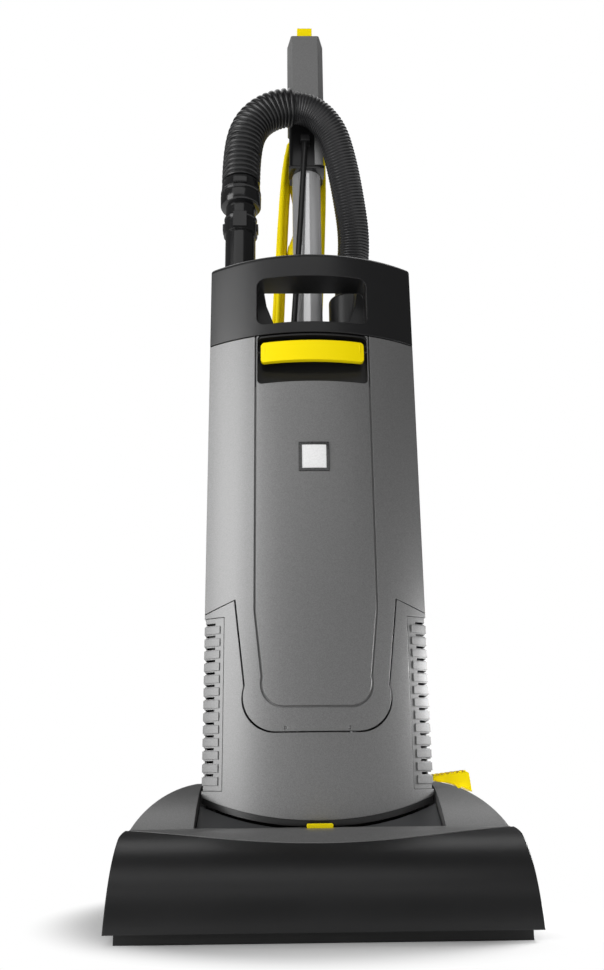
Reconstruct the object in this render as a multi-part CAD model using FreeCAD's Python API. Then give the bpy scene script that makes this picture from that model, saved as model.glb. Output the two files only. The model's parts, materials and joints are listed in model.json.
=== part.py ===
import FreeCAD, Part
import math
import os

# Commercial upright vacuum cleaner, millimetres, standing upright on the floor.
# +Z is up, the front (brush side) faces -Y, +X is the machine's left seen from behind.
# The origin is on the floor under the centre of the bounding box.

# Driving sizes -------------------------------------------------------------------------
OVERALL_WIDTH = 390.0
OVERALL_DEPTH = 340.0
OVERALL_HEIGHT = 1220.0
GAP = 0.4                 # between pieces that must not touch
RUN_FIT = 0.3             # radial play of a shaft in its bearing
SEAM = 1.4                # visible joint between two shells
WALL = 3.0                # moulded shells

# Power head
HEAD_REAR = 155.0
HEAD_HALF_BACK = 186.0
HOOD_BOTTOM = 9.0
HOOD_TOP_Y = -97.0
HOOD_TOP_Z = 92.0
HOOD_TAPER = 3.0          # each side, bottom to top
HOOD_CORNER_R = 9.0
CRESCENT_REACH = 37.0     # how far the housing's lip bows forward over the hood
SHOULDER_Z = 133.0
SHOULDER_WAIST_Z = 70.0      # the housing's sides lean in above this
SHOULDER_ROUND_X = 172.0
SHOULDER_ROUND_Z = 111.0
SOLE_THICK = 3.0
MOUTH_HALF_X = 160.0
MOUTH_FRONT = -146.0
MOUTH_BACK = -78.0
DECK_Z = 82.0
REAR_DECK_Z = 26.0
BASE_FLOOR_TOP = 16.0

# Brush drive
BRUSH_Y = -113.0
BRUSH_Z = 33.0
BRUSH_CORE_R = 20.0
BRISTLE_R = 31.0
BRUSH_HALF = 155.0
BRUSH_SHAFT_R = 4.0
MOTOR_Y = -41.0
MOTOR_Z = 50.0
MOTOR_R = 27.0
MOTOR_LENGTH = 95.0
MOTOR_START = 20.0
BEARING_R = 9.0
BELT_X = 163.0
BELT_WIDTH = 8.0
BELT_THICK = 2.0
BRUSH_PULLEY_R = 16.0
MOTOR_PULLEY_R = 8.0

# Wheels
WHEEL_Y = 130.0
WHEEL_R = 40.0
TYRE_THICK = 6.0
WHEEL_X = 150.0
WHEEL_WIDTH = 22.0
AXLE_R = 5.0

# Recline pedal
PEDAL_PIVOT = (90.0, 98.0)      # y, z
PEDAL_SLOT = (141.5, 174.5)     # x of its two ends
PEDAL_PIN_R = 3.0

# Body
BODY_WIDTH = 243.0
BODY_FRONT = -80.0
BODY_CORNER = -40.0
BODY_BACK = 65.0
BACK_CORNER_R = 18.0
SPLIT_Y = 5.0
BASE_FRONT_Z = 98.0       # lower edge of the body at its front centre
BASE_SLOPE = 0.55         # the lower edge climbs towards the back
SEAL_DROP = 6.5           # black lip under the lower edge
NECK_THICK = 2.0
COVER_BOTTOM = 634.0
COVER_TOP = 738.0
COVER_EDGE_R = 7.0
PIVOT_Y = 38.0
PIVOT_Z = 75.0
TRUNNION_R = 17.0
TRUNNION_REACH = 138.0
LUG_R = 25.0

# Bag door, with its tongue between the louvres
DOOR_SEAM_OUTER_Z = 311.0
DOOR_SEAM_INNER_Z = 324.0
TONGUE_HALF_TOP = 87.0
TONGUE_HALF_MID = 76.0
TONGUE_MID_Z = 232.0
TONGUE_HALF_LOW = 44.0
TONGUE_Z = 184.5
PANEL_HALF = 67.0
PANEL_HALF_LOW = 37.0
PANEL_MID_Z = 240.0
PANEL_Z = 208.0
PANEL_THICK = 1.8
DOOR_HINGE_Y = -73.0
DOOR_HINGE_Z = 188.0
HINGE_PIN_R = 1.8
HINGE_HALF = 34.0
KNUCKLE = 12.0
KNUCKLE_WALL = 2.2
RELIEF_STEPS = 8           # the sill under the door is relieved in this many steps a side
DOOR_THICK = 4.0

# Latch in the door's top
POCKET_HALF = 64.0
POCKET_BOTTOM = 572.0
POCKET_TOP = 630.5
POCKET_BACK = -53.0
LATCH_HALF = 60.0
LATCH_BOTTOM = 599.0
LATCH_TOP = 623.5
LATCH_THICK = 8.0
LATCH_CORNER_R = 4.5
POCKET_CORNER_R = 6.0
LATCH_PIVOT_Y = -62.0
LATCH_PIVOT_Z = 615.0
LATCH_PIN_R = 2.0

# Badge
BADGE_SIZE = 34.0
BADGE_Z = 481.0
BADGE_PROUD = 1.2

# Louvres
LOUVRE_INNER_X = 99.0
LOUVRE_BOTTOM = 126.0
LOUVRE_TOP = 306.0
LOUVRE_COUNT = 13
LOUVRE_FRAME = 5.0

# Carry opening and the well behind its bar
OPENING_HALF = 65.0
OPENING_BOTTOM = 647.0
OPENING_TOP = 707.0
OPENING_CORNER_R = 10.0
FIN_FOOT_X = 36.0          # fins behind the opening narrow it towards its foot
FIN_TOP_X = 54.0
BAR_BACK = -35.0
WELL_HALF = 58.0

# Inside the body
SUCTION_Y = 2.0            # the suction motor's axis
DUCT_X = 92.0
DUCT_Y = 36.0
DUCT_R = 17.0

# Handle
TUBE_R = 20.0
TUBE_WALL = 1.5
TUBE_GAP = 3.0             # between the tube and the body's back
TUBE_Y = BODY_BACK + TUBE_GAP + TUBE_R
TUBE_BOTTOM = 622.0
TUBE_TOP = 1100.0
CLAMP_HEIGHT = 28.0
CLAMP_WALL = 6.0           # beside the tube
CLAMP_LOW_Z = 626.0
CLAMP_HIGH_Z = 684.0
COLLAR_BOTTOM = 960.0
COLLAR_HALF = 24.0
GRIP_BOTTOM = 1040.0
GRIP_HALF = 26.0
GRIP_FACET_HALF = 18.5
GRIP_FRONT = 66.0
GRIP_SPLIT = 90.0
GRIP_BACK = 112.0
GRIP_TOP_FRONT = 1186.0
GRIP_TOP_BACK = 1207.0
LOOP_HALF = 16.0
BUTTON_HALF = 11.0
BUTTON_BOTTOM = 1192.0
BUTTON_TRAVEL = 3.0

# Cord and its hooks
CORD_D = 7.0
CORD_X = -2.0
HANK_CENTRE_Y = 141.0
HANK_DEPTH = 44.0
HANK_OUTER_R = 34.0
HANK_LEG = 14.0
HANK_TOP = 1052.0
HANK_BOTTOM = 560.0
HANK_LEAN = 2.7           # degrees, the lower end hangs to the right of the machine
HOOK_R = 19.0
HOOK_PLAY = 0.8
HOOK_LIP = 4.0
PLUG_X = -11.5
PLUG_Y = 130.0
PLUG_TOP = 901.0
PLUG_R = 17.0
CABLE_D = 8.0

# Wand and hose
WAND_X = -90.0
WAND_Y = 30.0
WAND_R = 20.0
WAND_WALL = 1.8
WAND_BOTTOM = 566.0
CUFF_BOTTOM = 868.0
CUFF_TOP = 907.0
CUFF_R = 26.5
HOSE_R = 22.0
SLEEVE_R = 26.0
SLEEVE_END_X = -18.0      # the sleeve covers the hose up to here
PORT_X = 58.0
PORT_Y = 94.0
PORT_TOP = 765.0
PORT_R = 29.0

HOSE_ROUTE = [
    (-90, 30, 900), (-90, 30, 958), (-77, 31, 1006), (-42, 33, 1033),
    (2, 36, 1036), (34, 42, 1007), (48, 54, 962), (58, 68, 912),
    (66, 84, 858), (62, 93, 806), (58, 94, 752),
]
LEAD_ROUTE = [(6, 128, 958), (5, 131, 930), (-2, 143, 900), (-17, 152, 868), (-34, 153, 835)]
TAIL_ROUTE = [(-28, 139, 1018), (-23, 134, 990), (-19, 131, 960), (-14, 130, 930), (-11.5, 130, 901)]
CABLE_ROUTE = [(-2, 60, 996), (-24, 60, 651)]

HALF_WIDTH = OVERALL_WIDTH / 2
FRONT_Y = -OVERALL_DEPTH / 2
V = FreeCAD.Vector
X_AXIS, Y_AXIS, Z_AXIS = V(1, 0, 0), V(0, 1, 0), V(0, 0, 1)


# Helpers -------------------------------------------------------------------------------
def box(x0, x1, y0, y1, z0, z1):
    return Part.makeBox(x1 - x0, y1 - y0, z1 - z0, V(x0, y0, z0))


def rod(radius, start, axis, length):
    return Part.makeCylinder(radius, length, V(*start), axis)


def rounded_y(block, radius):
    """A box with its four edges along Y rounded."""
    return block.makeFillet(radius, [e for e in block.Edges if e.BoundBox.YLength > 1])


def ring(outer, inner, start, axis, length):
    return rod(outer, start, axis, length).cut(rod(inner, start, axis, length))


def wire(points):
    """A closed wire. An item is a point, or a pair (middle, end) for an arc."""
    edges = []
    here = points[0]
    for item in list(points[1:]) + [points[0]]:
        if isinstance(item, tuple):
            edges.append(Part.Arc(here, item[0], item[1]).toShape())
            here = item[1]
        elif (item - here).Length > 1e-6:
            edges.append(Part.LineSegment(here, item).toShape())
            here = item
    return Part.Wire(edges)


def extrude(points, direction):
    return Part.Face(wire(points)).extrude(direction)


def side_prism(outline, half):
    """Points (y, z) extruded along X from -half to +half."""
    return extrude([V(-half, y, z) for y, z in outline], X_AXIS * (2 * half))


def front_prism(outline, y0, y1):
    """Points (x, z), or pairs for arcs, extruded along Y."""
    def place(p):
        return V(p[0], y0, p[1])
    points = []
    for p in outline:
        points.append(place(p) if not isinstance(p[0], tuple) else (place(p[0]), place(p[1])))
    return extrude(points, Y_AXIS * (y1 - y0))


def mirrored(shape):
    return shape.mirror(V(0, 0, 0), X_AXIS)


def both_sides(shape):
    return [shape, mirrored(shape)]


def path_wire(route):
    """Straight runs joined by tangent arcs, and the radii of those arcs."""
    points = [V(*p) for p in route]
    edges, radii = [], []
    here = points[0]
    for before, corner, after in zip(points, points[1:], points[2:]):
        into = (corner - before).normalize()
        out = (after - corner).normalize()
        half_turn = into.getAngle(out) / 2
        trim = 0.45 * min((corner - before).Length, (after - corner).Length)
        radii.append(trim / math.tan(half_turn))
        start = corner - into * trim
        end = corner + out * trim
        inward = (out - into).normalize()
        middle = corner + inward * (radii[-1] / math.cos(half_turn) - radii[-1])
        edges.append(Part.LineSegment(here, start).toShape())
        edges.append(Part.Arc(start, middle, end).toShape())
        here = end
    edges.append(Part.LineSegment(here, points[-1]).toShape())
    return Part.Wire(edges), radii


def swept(route, radius, name):
    """A round bar along a route, with its length, volume and bend radii printed."""
    path, radii = path_wire(route)
    direction = V(*route[1]) - V(*route[0])
    circle = Part.Wire(Part.makeCircle(radius, V(*route[0]), direction))
    solid = path.makePipeShell([circle], True, True)
    expected = math.pi * radius ** 2 * path.Length
    print(f"{name}: length {path.Length:.0f}, volume {solid.Volume / expected:.4f} of the section"
          f" times length, radii {[round(r) for r in radii]}")
    return solid


def body_plan(inset, z0, z1):
    """The body's footprint: a bowed front, straight sides and a flat back."""
    half = BODY_WIDTH / 2 - inset
    back = BODY_BACK - inset
    radius = max(BACK_CORNER_R - inset, 1.0)
    bevel = radius * (1 - math.sqrt(0.5))
    points = [
        V(-half, BODY_CORNER, z0),
        (V(0, BODY_FRONT + inset, z0), V(half, BODY_CORNER, z0)),
        V(half, back - radius, z0),
        (V(half - bevel, back - bevel, z0), V(half - radius, back, z0)),
        V(-half + radius, back, z0),
        (V(-half + bevel, back - bevel, z0), V(-half, back - radius, z0)),
    ]
    return extrude(points, Z_AXIS * (z1 - z0))


def body_front_y(x):
    """Y of the body's bowed front at a distance from the centre line."""
    half = BODY_WIDTH / 2
    bow = BODY_CORNER - BODY_FRONT
    radius = (half ** 2 + bow ** 2) / (2 * bow)
    return BODY_FRONT + radius - math.sqrt(radius ** 2 - x ** 2)


def body_ring(outer, inner, z0, z1):
    return body_plan(outer, z0, z1).cut(body_plan(inner, z0, z1))


def base_plane_z(y):
    return BASE_FRONT_Z + BASE_SLOPE * (y - BODY_FRONT)


def tongue(gap):
    """The bag door's outline seen from the front, grown by a gap."""
    top = COVER_BOTTOM - SEAM
    far = BODY_WIDTH
    low = TONGUE_HALF_LOW + gap
    mid = TONGUE_HALF_MID + gap
    high = TONGUE_HALF_TOP + gap
    bend = (TONGUE_HALF_MID - 8 + gap, TONGUE_Z + 11 - gap)
    outer = DOOR_SEAM_OUTER_Z - gap
    inner = DOOR_SEAM_INNER_Z - gap
    slope = (inner - outer) / (BODY_WIDTH / 2 - TONGUE_HALF_TOP)
    edge = outer - slope * (far - BODY_WIDTH / 2)
    return [
        (-far, top), (-far, edge), (-high, inner), (-mid, TONGUE_MID_Z - gap),
        ((-bend[0], bend[1]), (-low, TONGUE_Z - gap)),
        (low, TONGUE_Z - gap),
        ((bend[0], bend[1]), (mid, TONGUE_MID_Z - gap)),
        (high, inner), (far, edge), (far, top),
    ]


def panel_outline(gap):
    """The raised centre panel's outline seen from the front, shrunk by a gap."""
    top = COVER_BOTTOM - SEAM
    half = PANEL_HALF - gap
    low = PANEL_HALF_LOW - gap
    mid = PANEL_HALF - 8 - gap
    bend = (PANEL_HALF - 14 - gap, PANEL_Z + 8 + gap)
    return [
        (-half, top), (-half, DOOR_SEAM_OUTER_Z), (-mid, PANEL_MID_Z),
        ((-bend[0], bend[1]), (-low, PANEL_Z + gap)),
        (low, PANEL_Z + gap),
        ((bend[0], bend[1]), (mid, PANEL_MID_Z)),
        (half, DOOR_SEAM_OUTER_Z), (half, top),
    ]


# Power head ----------------------------------------------------------------------------
def smooth_edge(points):
    """One smooth curve through points (y, z) in the plane of the head's left side."""
    curve = Part.BSplineCurve()
    curve.interpolate([V(-HALF_WIDTH, y, z) for y, z in points])
    return curve.toShape()


def hood_side(inset):
    """The hood's side outline (y, z), a quarter round from its foot up to its rear edge."""
    return [
        (FRONT_Y + inset, HOOD_BOTTOM), (FRONT_Y + 3 + inset, 32), (FRONT_Y + 10 + inset, 52 - inset / 3),
        (FRONT_Y + 22 + inset * 0.8, 69 - inset / 2), (FRONT_Y + 38 + inset / 2, 81.5 - inset * 0.8),
        (FRONT_Y + 56, 89.5 - inset), (HOOD_TOP_Y, HOOD_TOP_Z - inset)]


def shoulder_side(inset):
    """The housing's side outline (y, z), from the hood over the shoulders to the rear."""
    return [
        (HOOD_TOP_Y, HOOD_TOP_Z - inset), (-62, 115 - inset), (-28, 128 - inset),
        (20, SHOULDER_Z - inset), (70, 127 - inset), (112, 109 - inset),
        (HEAD_REAR - 14 - inset * 0.8, 84 - inset / 2), (HEAD_REAR - 2 - inset, 50), (HEAD_REAR - inset, HOOD_BOTTOM)]


def head_front(inset):
    """The head's front outline (x, z): drafted sides that round over into the shoulders."""
    bottom = HALF_WIDTH - inset
    waist = HALF_WIDTH - HOOD_TAPER - inset
    top = BODY_WIDTH / 2
    round_x = SHOULDER_ROUND_X - inset * 0.8
    round_z = SHOULDER_ROUND_Z - inset * 0.6
    return [
        (-bottom, HOOD_BOTTOM), (-waist, SHOULDER_WAIST_Z),
        ((-round_x, round_z), (-top, SHOULDER_Z + 1 - inset)),
        (top, SHOULDER_Z + 1 - inset),
        ((round_x, round_z), (waist, SHOULDER_WAIST_Z)),
        (bottom, HOOD_BOTTOM),
    ]


def hood_front(inset):
    """The hood's front outline (x, z): nearly upright sides with small rounded corners."""
    bottom = HALF_WIDTH - inset
    waist = HALF_WIDTH - HOOD_TAPER - inset
    top = HOOD_TOP_Z + 1.5 - inset
    corner = HOOD_CORNER_R
    bevel = corner * (1 - math.sqrt(0.5))
    return [
        (-bottom, HOOD_BOTTOM), (-waist, top - corner),
        ((-waist + bevel, top - bevel), (-waist + corner, top)),
        (waist - corner, top),
        ((waist - bevel, top - bevel), (waist, top - corner)),
        (bottom, HOOD_BOTTOM),
    ]


def head_block(inset, front):
    """Solid shape of the head inside its walls, with one of the two front outlines."""
    foot = Part.LineSegment(V(-HALF_WIDTH, *shoulder_side(inset)[-1]), V(-HALF_WIDTH, *hood_side(inset)[0]))
    outline = Part.Wire([smooth_edge(hood_side(inset)), smooth_edge(shoulder_side(inset)), foot.toShape()])
    across = Part.Face(outline).extrude(X_AXIS * OVERALL_WIDTH)
    return across.common(front_prism(front(inset), FRONT_Y - 1, HEAD_REAR + 1))


def head_shell(front):
    inner = head_block(WALL, front)
    lid_open = box(-HALF_WIDTH, HALF_WIDTH, FRONT_Y, HEAD_REAR, 0, HOOD_BOTTOM + 0.01)
    return head_block(0, front).cut(inner).cut(lid_open)


def crescent_line(gap):
    """Plan shape of everything behind the hood's rear edge, bowed forward at the centre."""
    side = HOOD_TOP_Y - 4 + gap
    centre = HOOD_TOP_Y - CRESCENT_REACH + gap
    points = [
        V(-HALF_WIDTH, side, 0),
        (V(0, centre, 0), V(HALF_WIDTH, side, 0)),
        V(HALF_WIDTH, HEAD_REAR + 5, 0), V(-HALF_WIDTH, HEAD_REAR + 5, 0),
    ]
    return extrude(points, Z_AXIS * OVERALL_HEIGHT)


def body_well(gap):
    """Room between the shoulders where the body stands and tilts back."""
    half = BODY_WIDTH / 2 + 2 + gap
    front = HOOD_TOP_Y + 0.6
    return box(-half, half, front, HEAD_REAR + 1, DECK_Z, OVERALL_HEIGHT).fuse(
        box(-half, half, PIVOT_Y - 42, HEAD_REAR + 1, REAR_DECK_Z, OVERALL_HEIGHT))


def wheel_well(sign):
    x0 = WHEEL_X - WHEEL_WIDTH / 2 - 3
    well = rod(WHEEL_R + 4, (x0, WHEEL_Y, WHEEL_R), X_AXIS, 70)
    return well if sign > 0 else mirrored(well)


def make_brush_cover():
    return head_shell(hood_front).cut(crescent_line(0))


def make_head_housing():
    shell = head_shell(head_front).common(crescent_line(SEAM))
    shell = shell.cut(body_well(0))
    for sign in (-1, 1):
        shell = shell.cut(wheel_well(sign))
    slots = []
    for i in range(3):
        slot = box(148 + 8 * i, 152 + 8 * i, -34, -16, 60, 160)
        slots.append(slot)
    for slot in slots:
        shell = shell.cut(slot)
    wall_x = BODY_WIDTH / 2 + 2
    inner_wall = box(wall_x, wall_x + WALL, MOUTH_BACK + 8, HEAD_REAR - 8, BASE_FLOOR_TOP + GAP, SHOULDER_Z)
    inner_wall = inner_wall.fuse(box(wall_x, wall_x + WALL, HOOD_TOP_Y, MOUTH_BACK + 9, DECK_Z - 4, SHOULDER_Z))
    inner_wall = inner_wall.common(head_block(0.2, head_front))
    bearing = rod(TRUNNION_R + 6, (wall_x, PIVOT_Y, PIVOT_Z), X_AXIS, TRUNNION_REACH - wall_x + 2)
    bore = rod(TRUNNION_R + RUN_FIT, (wall_x - 1, PIVOT_Y, PIVOT_Z), X_AXIS, 60)
    cheek = inner_wall.fuse(bearing).cut(bore).cut(wheel_well(1))
    cheek = cheek.cut(rod(AXLE_R + GAP, (0, WHEEL_Y, WHEEL_R), X_AXIS, HALF_WIDTH))
    cheek = cheek.cut(rod(MOTOR_PULLEY_R, (0, MOTOR_Y, MOTOR_Z), X_AXIS, HALF_WIDTH))
    for piece in both_sides(cheek):
        shell = shell.fuse(piece)
    y, z = PEDAL_PIVOT
    x0, x1 = PEDAL_SLOT
    shell = shell.cut(box(x0, x1, y - 8, y + 38, z - 10, z + 60))
    ears = box(x0 - 4, x0, y - 8, y + 8, z - 10, z + 40).fuse(box(x1, x1 + 4, y - 8, y + 8, z - 10, z + 40))
    ears = ears.common(head_block(0.5, head_front))
    return shell.fuse(ears).cut(rod(PEDAL_PIN_R, (x0 - 5, y, z), X_AXIS, x1 - x0 + 10)).removeSplitter()


def make_head_base():
    half = BODY_WIDTH / 2 + 1
    low, top = BASE_FLOOR_TOP - 4, BASE_FLOOR_TOP
    back = HEAD_REAR - 4
    floor = box(-half, half, MOUTH_BACK + 6, back, low, top)
    wing = box(half - 1, HEAD_HALF_BACK - 4, MOUTH_BACK + 6, WHEEL_Y - WHEEL_R - 8, low, top)
    room = BRISTLE_R + 4
    wall = 2.5
    foot = SOLE_THICK + GAP
    length = 2 * (BRUSH_HALF + 3)

    def arch(radius, x0, x1):
        round_top = rod(radius, (x0, BRUSH_Y, BRUSH_Z), X_AXIS, x1 - x0)
        legs = box(x0, x1, BRUSH_Y - radius, BRUSH_Y + radius, foot, BRUSH_Z)
        return round_top.fuse(legs).cut(box(x0, x1, FRONT_Y, 0, -50, foot))

    tunnel = arch(room + wall, -length / 2, length / 2).cut(arch(room, -length / 2, length / 2))
    end = arch(room + wall, length / 2, length / 2 + wall)
    end = end.cut(rod(BEARING_R + GAP, (length / 2 - 1, BRUSH_Y, BRUSH_Z), X_AXIS, 5))
    link = box(-half, half, BRUSH_Y + room + 1, MOUTH_BACK + 8, foot, top)
    step_y = PIVOT_Y - 45
    deck = box(-half, half, BODY_FRONT - 13, step_y + 3, DECK_Z - 4, DECK_Z - GAP)
    step = box(-half, half, step_y, step_y + 3, low, DECK_Z - GAP)
    rear = box(-half, half, back - 4, back, low, REAR_DECK_Z - 1)
    cradle = box(MOTOR_START + 15, MOTOR_START + 19, MOTOR_Y - 20, MOTOR_Y + 20, top - 1, MOTOR_Z - 10)
    cradle = cradle.fuse(cradle.translated(V(MOTOR_LENGTH - 34, 0, 0)))
    cradle = cradle.cut(rod(MOTOR_R, (0, MOTOR_Y, MOTOR_Z), X_AXIS, HALF_WIDTH))
    post_x = WHEEL_X - WHEEL_WIDTH / 2 - 10
    post = box(post_x, post_x + 5, WHEEL_Y - 10, WHEEL_Y + 10, low, WHEEL_R + 10)
    post = post.cut(rod(AXLE_R, (0, WHEEL_Y, WHEEL_R), X_AXIS, HALF_WIDTH))
    post = post.fuse(box(half - 1, post_x + 5, WHEEL_Y - 50, WHEEL_Y + 10, low, top))
    base = floor.multiFuse([tunnel, link, deck, step, rear, cradle])
    for piece in both_sides(wing) + both_sides(end) + both_sides(post):
        base = base.fuse(piece)
    return base.removeSplitter()


def make_sole_plate():
    plate = box(-HEAD_HALF_BACK, HEAD_HALF_BACK, FRONT_Y + 6, MOUTH_BACK + 60, 0, SOLE_THICK)
    mouth = box(-MOUTH_HALF_X, MOUTH_HALF_X, MOUTH_FRONT, MOUTH_BACK, -1, SOLE_THICK + 1)
    lip = box(-HEAD_HALF_BACK, HEAD_HALF_BACK, FRONT_Y + 6, FRONT_Y + 9, SOLE_THICK - 1, HOOD_BOTTOM)
    return plate.cut(mouth).fuse(lip).removeSplitter()


def make_neck_panel():
    """Sloping panel between the hood and the body, cut out to the body's bowed front."""
    y0, y1 = HOOD_TOP_Y + 6, BODY_CORNER + 4
    drop = SEAL_DROP + GAP
    z0, z1 = base_plane_z(y0) - drop, base_plane_z(y1) - drop
    slab = side_prism([(y0, z0), (y1, z1), (y1, z1 - NECK_THICK), (y0, z0 - NECK_THICK)], BODY_WIDTH / 2 + 1)
    return slab.cut(body_plan(-3.5, 0, OVERALL_HEIGHT))


def make_brush():
    length = 2 * BRUSH_HALF
    core = rod(BRUSH_CORE_R, (-BRUSH_HALF, BRUSH_Y, BRUSH_Z), X_AXIS, length)
    shaft_reach = HEAD_HALF_BACK - 6
    shaft = rod(BRUSH_SHAFT_R, (-shaft_reach, BRUSH_Y, BRUSH_Z), X_AXIS, 2 * shaft_reach)
    core = core.fuse(shaft)
    rows = []
    row_count = 4
    tufts = 24
    pitch = (length - 20) / (tufts - 1)
    for row in range(row_count):
        for i in range(tufts):
            angle = math.radians(360 / row_count * row + 6 * i)
            along = -BRUSH_HALF + 10 + pitch * i
            out = V(0, math.cos(angle), math.sin(angle))
            start = V(along, BRUSH_Y, BRUSH_Z) + out * (BRUSH_CORE_R - 2)
            tuft = Part.makeCylinder(2.2, BRISTLE_R - BRUSH_CORE_R + 2, start, out)
            rows.append(tuft)
    bristles = Part.makeCompound([tuft.cut(core) for tuft in rows])
    return core, bristles


def make_bearings():
    x0 = BRUSH_HALF + 3
    return Part.makeCompound(both_sides(
        ring(BEARING_R, BRUSH_SHAFT_R + RUN_FIT, (x0, BRUSH_Y, BRUSH_Z), X_AXIS, 3)))


def belt_x():
    return BELT_X + 3


def make_belt():
    """Flat belt round both pulleys: two half turns and two straight spans."""
    def band(extra):
        centres = [(BRUSH_Y, BRUSH_Z, BRUSH_PULLEY_R + extra), (MOTOR_Y, MOTOR_Z, MOTOR_PULLEY_R + extra)]
        (ya, za, ra), (yb, zb, rb) = centres
        span = math.hypot(yb - ya, zb - za)
        along = math.atan2(zb - za, yb - ya)
        tilt = math.asin((ra - rb) / span)
        def at(y, z, r, angle):
            return V(belt_x(), y + r * math.cos(angle), z + r * math.sin(angle))
        up = along + math.pi / 2 - tilt
        down = along - math.pi / 2 + tilt
        return extrude([
            at(ya, za, ra, up),
            (at(ya, za, ra, along + math.pi), at(ya, za, ra, down)),
            at(yb, zb, rb, down),
            (at(yb, zb, rb, along), at(yb, zb, rb, up)),
        ], X_AXIS * BELT_WIDTH)
    return band(BELT_THICK + GAP).cut(band(GAP))


def make_pulley(radius, y, z, shaft_r):
    body = rod(radius, (belt_x() - 1, y, z), X_AXIS, BELT_WIDTH + 2)
    return body.cut(rod(shaft_r, (belt_x() - 2, y, z), X_AXIS, BELT_WIDTH + 4))


def motor_shaft_r():
    return MOTOR_PULLEY_R / 2


def make_brush_motor():
    can = rod(MOTOR_R, (MOTOR_START, MOTOR_Y, MOTOR_Z), X_AXIS, MOTOR_LENGTH)
    nose = rod(MOTOR_R / 2, (MOTOR_START + MOTOR_LENGTH, MOTOR_Y, MOTOR_Z), X_AXIS, 6)
    shaft_bore = rod(motor_shaft_r() + RUN_FIT, (MOTOR_START + 20, MOTOR_Y, MOTOR_Z), X_AXIS, MOTOR_LENGTH)
    return can.fuse(nose).cut(shaft_bore)


def make_motor_rotor():
    start_x = MOTOR_START + 25
    shaft = rod(motor_shaft_r(), (start_x, MOTOR_Y, MOTOR_Z), X_AXIS, belt_x() + BELT_WIDTH + 1 - start_x)
    return shaft.fuse(rod(MOTOR_PULLEY_R, (belt_x() - 1, MOTOR_Y, MOTOR_Z), X_AXIS, BELT_WIDTH + 2))


def make_wheel():
    x0 = WHEEL_X - WHEEL_WIDTH / 2
    rim = WHEEL_R - TYRE_THICK
    tyre = ring(WHEEL_R, rim, (x0, WHEEL_Y, WHEEL_R), X_AXIS, WHEEL_WIDTH)
    outer_edges = [e for e in tyre.Edges if abs(getattr(e.Curve, "Radius", 0) - WHEEL_R) < 0.01]
    tyre = tyre.makeFillet(2.0, outer_edges)
    hub = ring(rim, AXLE_R + RUN_FIT, (x0, WHEEL_Y, WHEEL_R), X_AXIS, WHEEL_WIDTH)
    dish = ring(rim - 6, AXLE_R + 6, (x0 + WHEEL_WIDTH - 7, WHEEL_Y, WHEEL_R), X_AXIS, 8)
    return tyre, hub.cut(dish)


def make_axle():
    reach = WHEEL_X + WHEEL_WIDTH / 2 + 4
    axle = rod(AXLE_R, (-reach, WHEEL_Y, WHEEL_R), X_AXIS, 2 * reach)
    cap = rod(AXLE_R + 5, (reach - 3, WHEEL_Y, WHEEL_R), X_AXIS, 3)
    for piece in both_sides(cap):
        axle = axle.fuse(piece)
    return axle


def make_pedal():
    """Foot pedal on the right shoulder, hinged at its front, with a toothed tread."""
    y, z = PEDAL_PIVOT
    x0, x1 = PEDAL_SLOT
    plate = front_prism([
        (141, z + 40), (182, z + 45), (184.5, z + 43.5), (187, z + 22), (177, z + 27), (160, z + 32),
        (141, z + 35)], y + 4, y + 36)
    left_arm = box(x0 + 2, x0 + 8, y - 5, y + 12, z - 5, z + 35)
    right_arm = box(x1 - 8, x1 - 2, y - 5, y + 12, z - 5, z + 30)
    pin = rod(PEDAL_PIN_R - 0.1, (x0 - 3.5, y, z), X_AXIS, x1 - x0 + 7)
    pedal = plate.multiFuse([left_arm, right_arm, pin])
    tread_height = front_prism([(141, z + 36), (184, z + 41), (184, z + 47), (141, z + 42)], y, y + 36)
    for i in range(7):
        x = 142.5 + 6.0 * i
        pedal = pedal.fuse(box(x, x + 2.4, y + 4.5, y + 35.5, z + 30, z + 55).common(tread_height))
    return pedal.removeSplitter()


def make_pedal_spring():
    y, z = PEDAL_PIVOT
    x0, x1 = PEDAL_SLOT
    return ring(PEDAL_PIN_R + 2, PEDAL_PIN_R + 0.5, (x0 + 9, y, z), X_AXIS, x1 - x0 - 18)


def make_release_button():
    body = box(-13, 13, HOOD_TOP_Y - 3, HOOD_TOP_Y + 4, HOOD_TOP_Z - 10, HOOD_TOP_Z + 4)
    edges = [e for e in body.Edges if abs(e.BoundBox.ZMin - e.BoundBox.ZMax) < 0.1
             and e.BoundBox.ZMax > HOOD_TOP_Z + 3]
    return body.makeFillet(1.5, edges)


def release_slot():
    return box(-13 - GAP, 13 + GAP, HOOD_TOP_Y - 3 - GAP, HOOD_TOP_Y + 4 + GAP, 60, 120)


# Body ----------------------------------------------------------------------------------
def base_cut():
    """Everything below the body's sloping lower edge, down past the lugs."""
    front = BODY_FRONT - 20
    back = -20.0
    return side_prism([
        (front, base_plane_z(front)), (back, base_plane_z(back)), (back, 0), (front, 0),
    ], HALF_WIDTH)


def louvre_zone(x0, z0, z1):
    """The part of the body's front corner that carries the louvres."""
    return box(x0, HALF_WIDTH, BODY_FRONT, SPLIT_Y - 10, z0, z1)


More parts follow.
